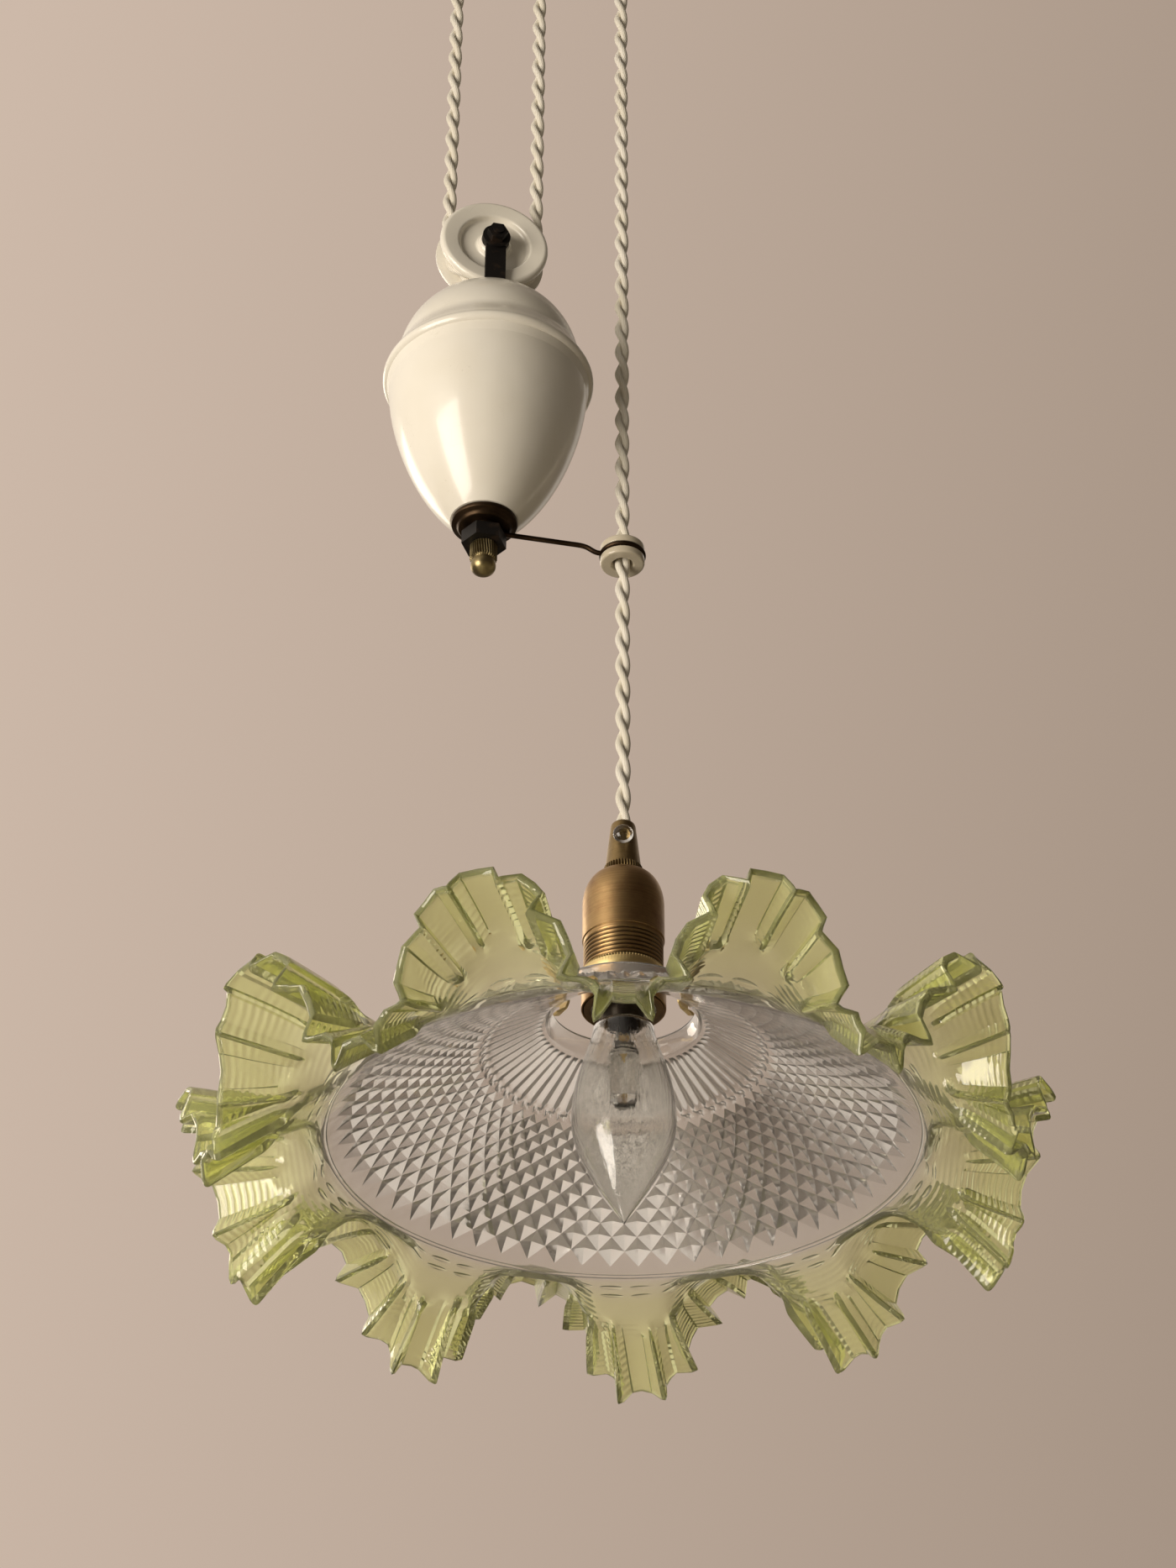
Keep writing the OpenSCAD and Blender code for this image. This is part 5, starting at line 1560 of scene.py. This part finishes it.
    def neck(self, rings: Rings) -> None:
        """Plain neck up to its rounded top edge.

        Args:
            rings: the rings so far.
        """
        out, top = self.neck_r + self.glass_t, self.neck_h + self.neck_len
        end_z = self.neck_h + self.glass_t * 0.7
        profile = outline([out + 0.3, end_z + 0.6], [out, end_z + 1.6], [out, top - 0.8],
                          [out - 0.3, top - 0.2], [out - 0.9, top], [self.neck_r + 0.8, top],
                          [self.neck_r + 0.1, top - 0.2])
        rings.put(self.standing(profile[:, :1], profile[:, 1:]))

    def build(self) -> None:
        """Join the rings of the lower face, the rim and the upper face into one closed surface."""
        rings, t = Rings(self.turn_a), self.glass_t
        self.lower_face(rings)
        self.skirt_rings(rings, np.linspace(0, 1, 34)[1:], 0.0, -1.0)
        lip = np.radians(np.linspace(-60, 60, 5))
        self.skirt_rings(rings, 1 + self.lip * np.cos(lip), t / 2 + t / 2 * np.sin(lip))
        self.skirt_rings(rings, np.concatenate([np.linspace(1, 0.32, 26), np.linspace(0.29, 0.03, 13)]), t)
        self.bead(rings)
        self.diamonds(rings)
        self.flutes(rings)
        self.neck(rings)
        self.shop.fit("shade_pressed", [rings.patch(self.cells, self.centre)], GLASS, self.body, Slot.SHADE,
                      "shade_glass", 28)


# ---------------------------------------------------------------------------------------------------
# Camera, room and light


@dataclass(frozen=True)
class SoftBox:
    """Soft lamp: where it stands and aims, in metres, and whether glass shows it."""

    name: str
    place: Point
    aim: Point
    size: tuple[float, float]
    power: float
    colour: str
    through: bool = True

    def build(self) -> None:
        """Stand the lamp."""
        data = bpy.data.lights.new(self.name, "AREA")
        data.shape, data.size, data.size_y = "RECTANGLE", *self.size
        data.energy = self.power
        data.color = linear(self.colour)[:3]
        made = bpy.data.objects.new(self.name, data)
        made.location = self.place
        made.visible_transmission = self.through
        made.rotation_euler = (Vector(self.aim) - Vector(self.place)).to_track_quat("-Z", "Y").to_euler()
        bpy.context.scene.collection.objects.link(made)


@dataclass
class Studio:
    """Camera of the photograph's angle, a pale floor, a plain room and soft lamps.

    A step of the room is an axis, where a level changes along it, and the levels before and after.
    """

    camera_at: Point = (-0.18435, -0.95009, -1.20547)
    azimuth: float = 12.27
    rise: float = 34.93
    roll: float = 0.254
    lens: float = 76.94
    floor_z: float = -2.6
    floor_half: float = 60.0
    wall: str = "a69485"
    warm: str = "cdb9a9"
    window: str = "f4e8da"
    dim: str = "40372f"
    fill_colour: str = "f2e6d4"
    fill: float = 0.18
    # The room is dim below, above, to the right and behind the camera
    open_wall: tuple[Step, ...] = (("Z", -0.1, 0.31, 0.0, 1.0), ("Z", 0.7, 0.9, 1.0, 0.45),
                                   ("X", 0.34, 0.52, 1.0, 0.25), ("Y", -0.45, 0.45, 0.0, 1.0))
    # It is brighter on the side that the light comes from, and in a band far ahead to the right
    left_glow: tuple[Step, ...] = (("X", -0.22, 0.14, 0.85, 0.0), ("Y", -0.8, -0.42, 0.0, 1.0))
    right_glow: tuple[Step, ...] = (("X", 0.4, 0.46, 0.0, 0.75), ("X", 0.6, 0.68, 1.0, 0.0),
                                    ("Y", 0.2, 0.4, 0.0, 1.0))
    lamps: tuple[SoftBox, ...] = (
        SoftBox("key_soft_box", (-1.75, -0.95, -0.95), (0.0, 0.0, -0.5), (1.2, 1.6), 50.0, "fff5e8"),
        SoftBox("back_soft_box", (-0.9, 1.5, 0.1), (0.0, 0.0, -0.6), (0.7, 0.7), 6.0, "fff2de", False))

    def camera(self) -> None:
        """Stand the camera: right, up and back as columns, turned by the roll."""
        az, up_a, roll = (math.radians(v) for v in (self.azimuth, self.rise, self.roll))
        forward = Vector((math.sin(az) * math.cos(up_a), math.cos(az) * math.cos(up_a), math.sin(up_a)))
        right = Vector((math.cos(az), -math.sin(az), 0))
        up = right.cross(forward)
        turned_right = right * math.cos(roll) + up * math.sin(roll)
        turned_up = up * math.cos(roll) - right * math.sin(roll)
        data = bpy.data.cameras.new("camera")
        data.sensor_fit = "VERTICAL"
        data.sensor_height = 36.0
        data.lens = self.lens
        data.clip_start, data.clip_end = 0.01, 100.0
        made = bpy.data.objects.new("camera", data)
        made.matrix_world = Matrix.Translation(self.camera_at) @ Matrix(
            (turned_right, turned_up, -forward)).transposed().to_4x4()
        bpy.context.scene.collection.objects.link(made)
        bpy.context.scene.camera = made

    def level(self, add: Adder, way: bpy.types.Node, steps: tuple[Step, ...],
              kind: str = "LINEAR") -> bpy.types.Node:
        """Multiply the levels of some steps.

        Args:
            add: adds a node.
            way: direction split into its axes.
            steps: the steps.
            kind: how a level changes between its two ends.

        Returns:
            Node of the product.
        """
        product = None
        for axis, start, end, before, after in steps:
            level = add("MapRange", {"Value": way.outputs[axis], 1: start, 2: end, 3: before, 4: after},
                        interpolation_type=kind)
            product = add("Math", {0: product, 1: level}, operation="MULTIPLY") if product else level
        return product

    def room(self) -> None:
        """World: plain fill for the object, and a wall for what is seen, mirrored or looked through."""
        world = bpy.data.worlds.new("room")
        bpy.context.scene.world = world
        add = start_tree(world)
        way = add("SeparateXYZ", {0: add("TexCoord").outputs["Generated"]})
        side = add("MapRange", {"Value": way.outputs["X"], 1: -0.02, 2: 0.36})
        wall = add("Mix", {0: side, 6: linear(self.warm), 7: linear(self.wall)}, data_type="RGBA")
        near = self.level(add, way, self.open_wall, "SMOOTHSTEP")
        seen = add("Mix", {0: near, 6: linear(self.dim), 7: wall}, data_type="RGBA")
        left, right = self.level(add, way, self.left_glow), self.level(add, way, self.right_glow)
        sides = add("Math", {0: left, 1: right}, operation="MAXIMUM")
        high = self.level(add, way, self.open_wall[1:2], "SMOOTHSTEP")
        glow = add("Math", {0: sides, 1: high}, operation="MULTIPLY")
        bright = add("Mix", {0: glow, 6: seen, 7: linear(self.window)}, data_type="RGBA")
        path = add("LightPath").outputs
        look = add("Math", {0: path["Is Glossy Ray"], 1: path["Is Transmission Ray"]}, operation="MAXIMUM")
        fill = add("Background", {"Color": linear(self.fill_colour), "Strength": self.fill})
        mirrored = add("Background", {"Color": bright, "Strength": 1.0})
        behind = add("Background", {"Color": wall, "Strength": 1.0})
        both = add("MixShader", {0: look, 1: fill, 2: mirrored})
        add("OutputWorld", {"Surface": add("MixShader", {0: path["Is Camera Ray"], 1: both, 2: behind})})

    def floor(self) -> None:
        """Plain pale floor of painted plaster, matt and faintly cloudy."""
        half, z = self.floor_half, self.floor_z
        mesh = bpy.data.meshes.new("floor")
        mesh.from_pydata([(-half, -half, z), (half, -half, z), (half, half, z), (-half, half, z)], [],
                         [(0, 1, 2, 3)])
        made = bpy.data.objects.new("floor", mesh)
        bpy.context.scene.collection.objects.link(made)
        material = bpy.data.materials.new("pale_floor")
        add = start_tree(material)
        grain = add("TexNoise", {"Vector": add("TexCoord").outputs["Object"], "Scale": 1.5, "Detail": 3.0})
        tone = add("Mix", {0: grain, 6: linear("d8cfc4"), 7: linear("d2c8bc")}, data_type="RGBA")
        lit = add("BsdfPrincipled", {"Base Color": tone, "Roughness": 0.9})
        # Seen by the camera, the floor has the pale level of the wall and still takes the shadow
        pale = add("BsdfPrincipled", {"Base Color": tone, "Roughness": 0.9,
                                      "Emission Color": linear("cfc2b4"), "Emission Strength": 0.5})
        seen = add("LightPath").outputs["Is Camera Ray"]
        add("OutputMaterial", {"Surface": add("MixShader", {0: seen, 1: lit, 2: pale})})
        mesh.materials.append(material)

    def build(self) -> None:
        """Stand the camera, the room and the lamps."""
        bpy.context.scene.view_settings.view_transform = "Standard"
        self.camera()
        self.room()
        self.floor()
        for lamp in self.lamps:
            lamp.build()


def write_sizes() -> None:
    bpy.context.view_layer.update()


def main() -> None:
    """Build the light and its room."""
    logging.basicConfig(level=logging.INFO, format="%(message)s")
    shop = Workshop()
    Studio().build()
    Flex(shop).build()
    Pulley(shop, Body.TOP_PULLEY, (WHEEL_CORD_R, 0.0, TOP_WHEEL_LEVEL), "top_pulley_glazed",
           "top_pulley").build()
    Pulley(shop, Body.WEIGHT_PULLEY, (-WHEEL_CORD_R, 0.0, WEIGHT_WHEEL_LEVEL), "weight_pulley_glazed",
           "weight_pulley").build()
    Counterweight(shop).build()
    CeilingFitting(shop).build()
    Lampholder(shop).build()
    Shade(shop).build()
    write_sizes()


if __name__ == "__main__":
    main()
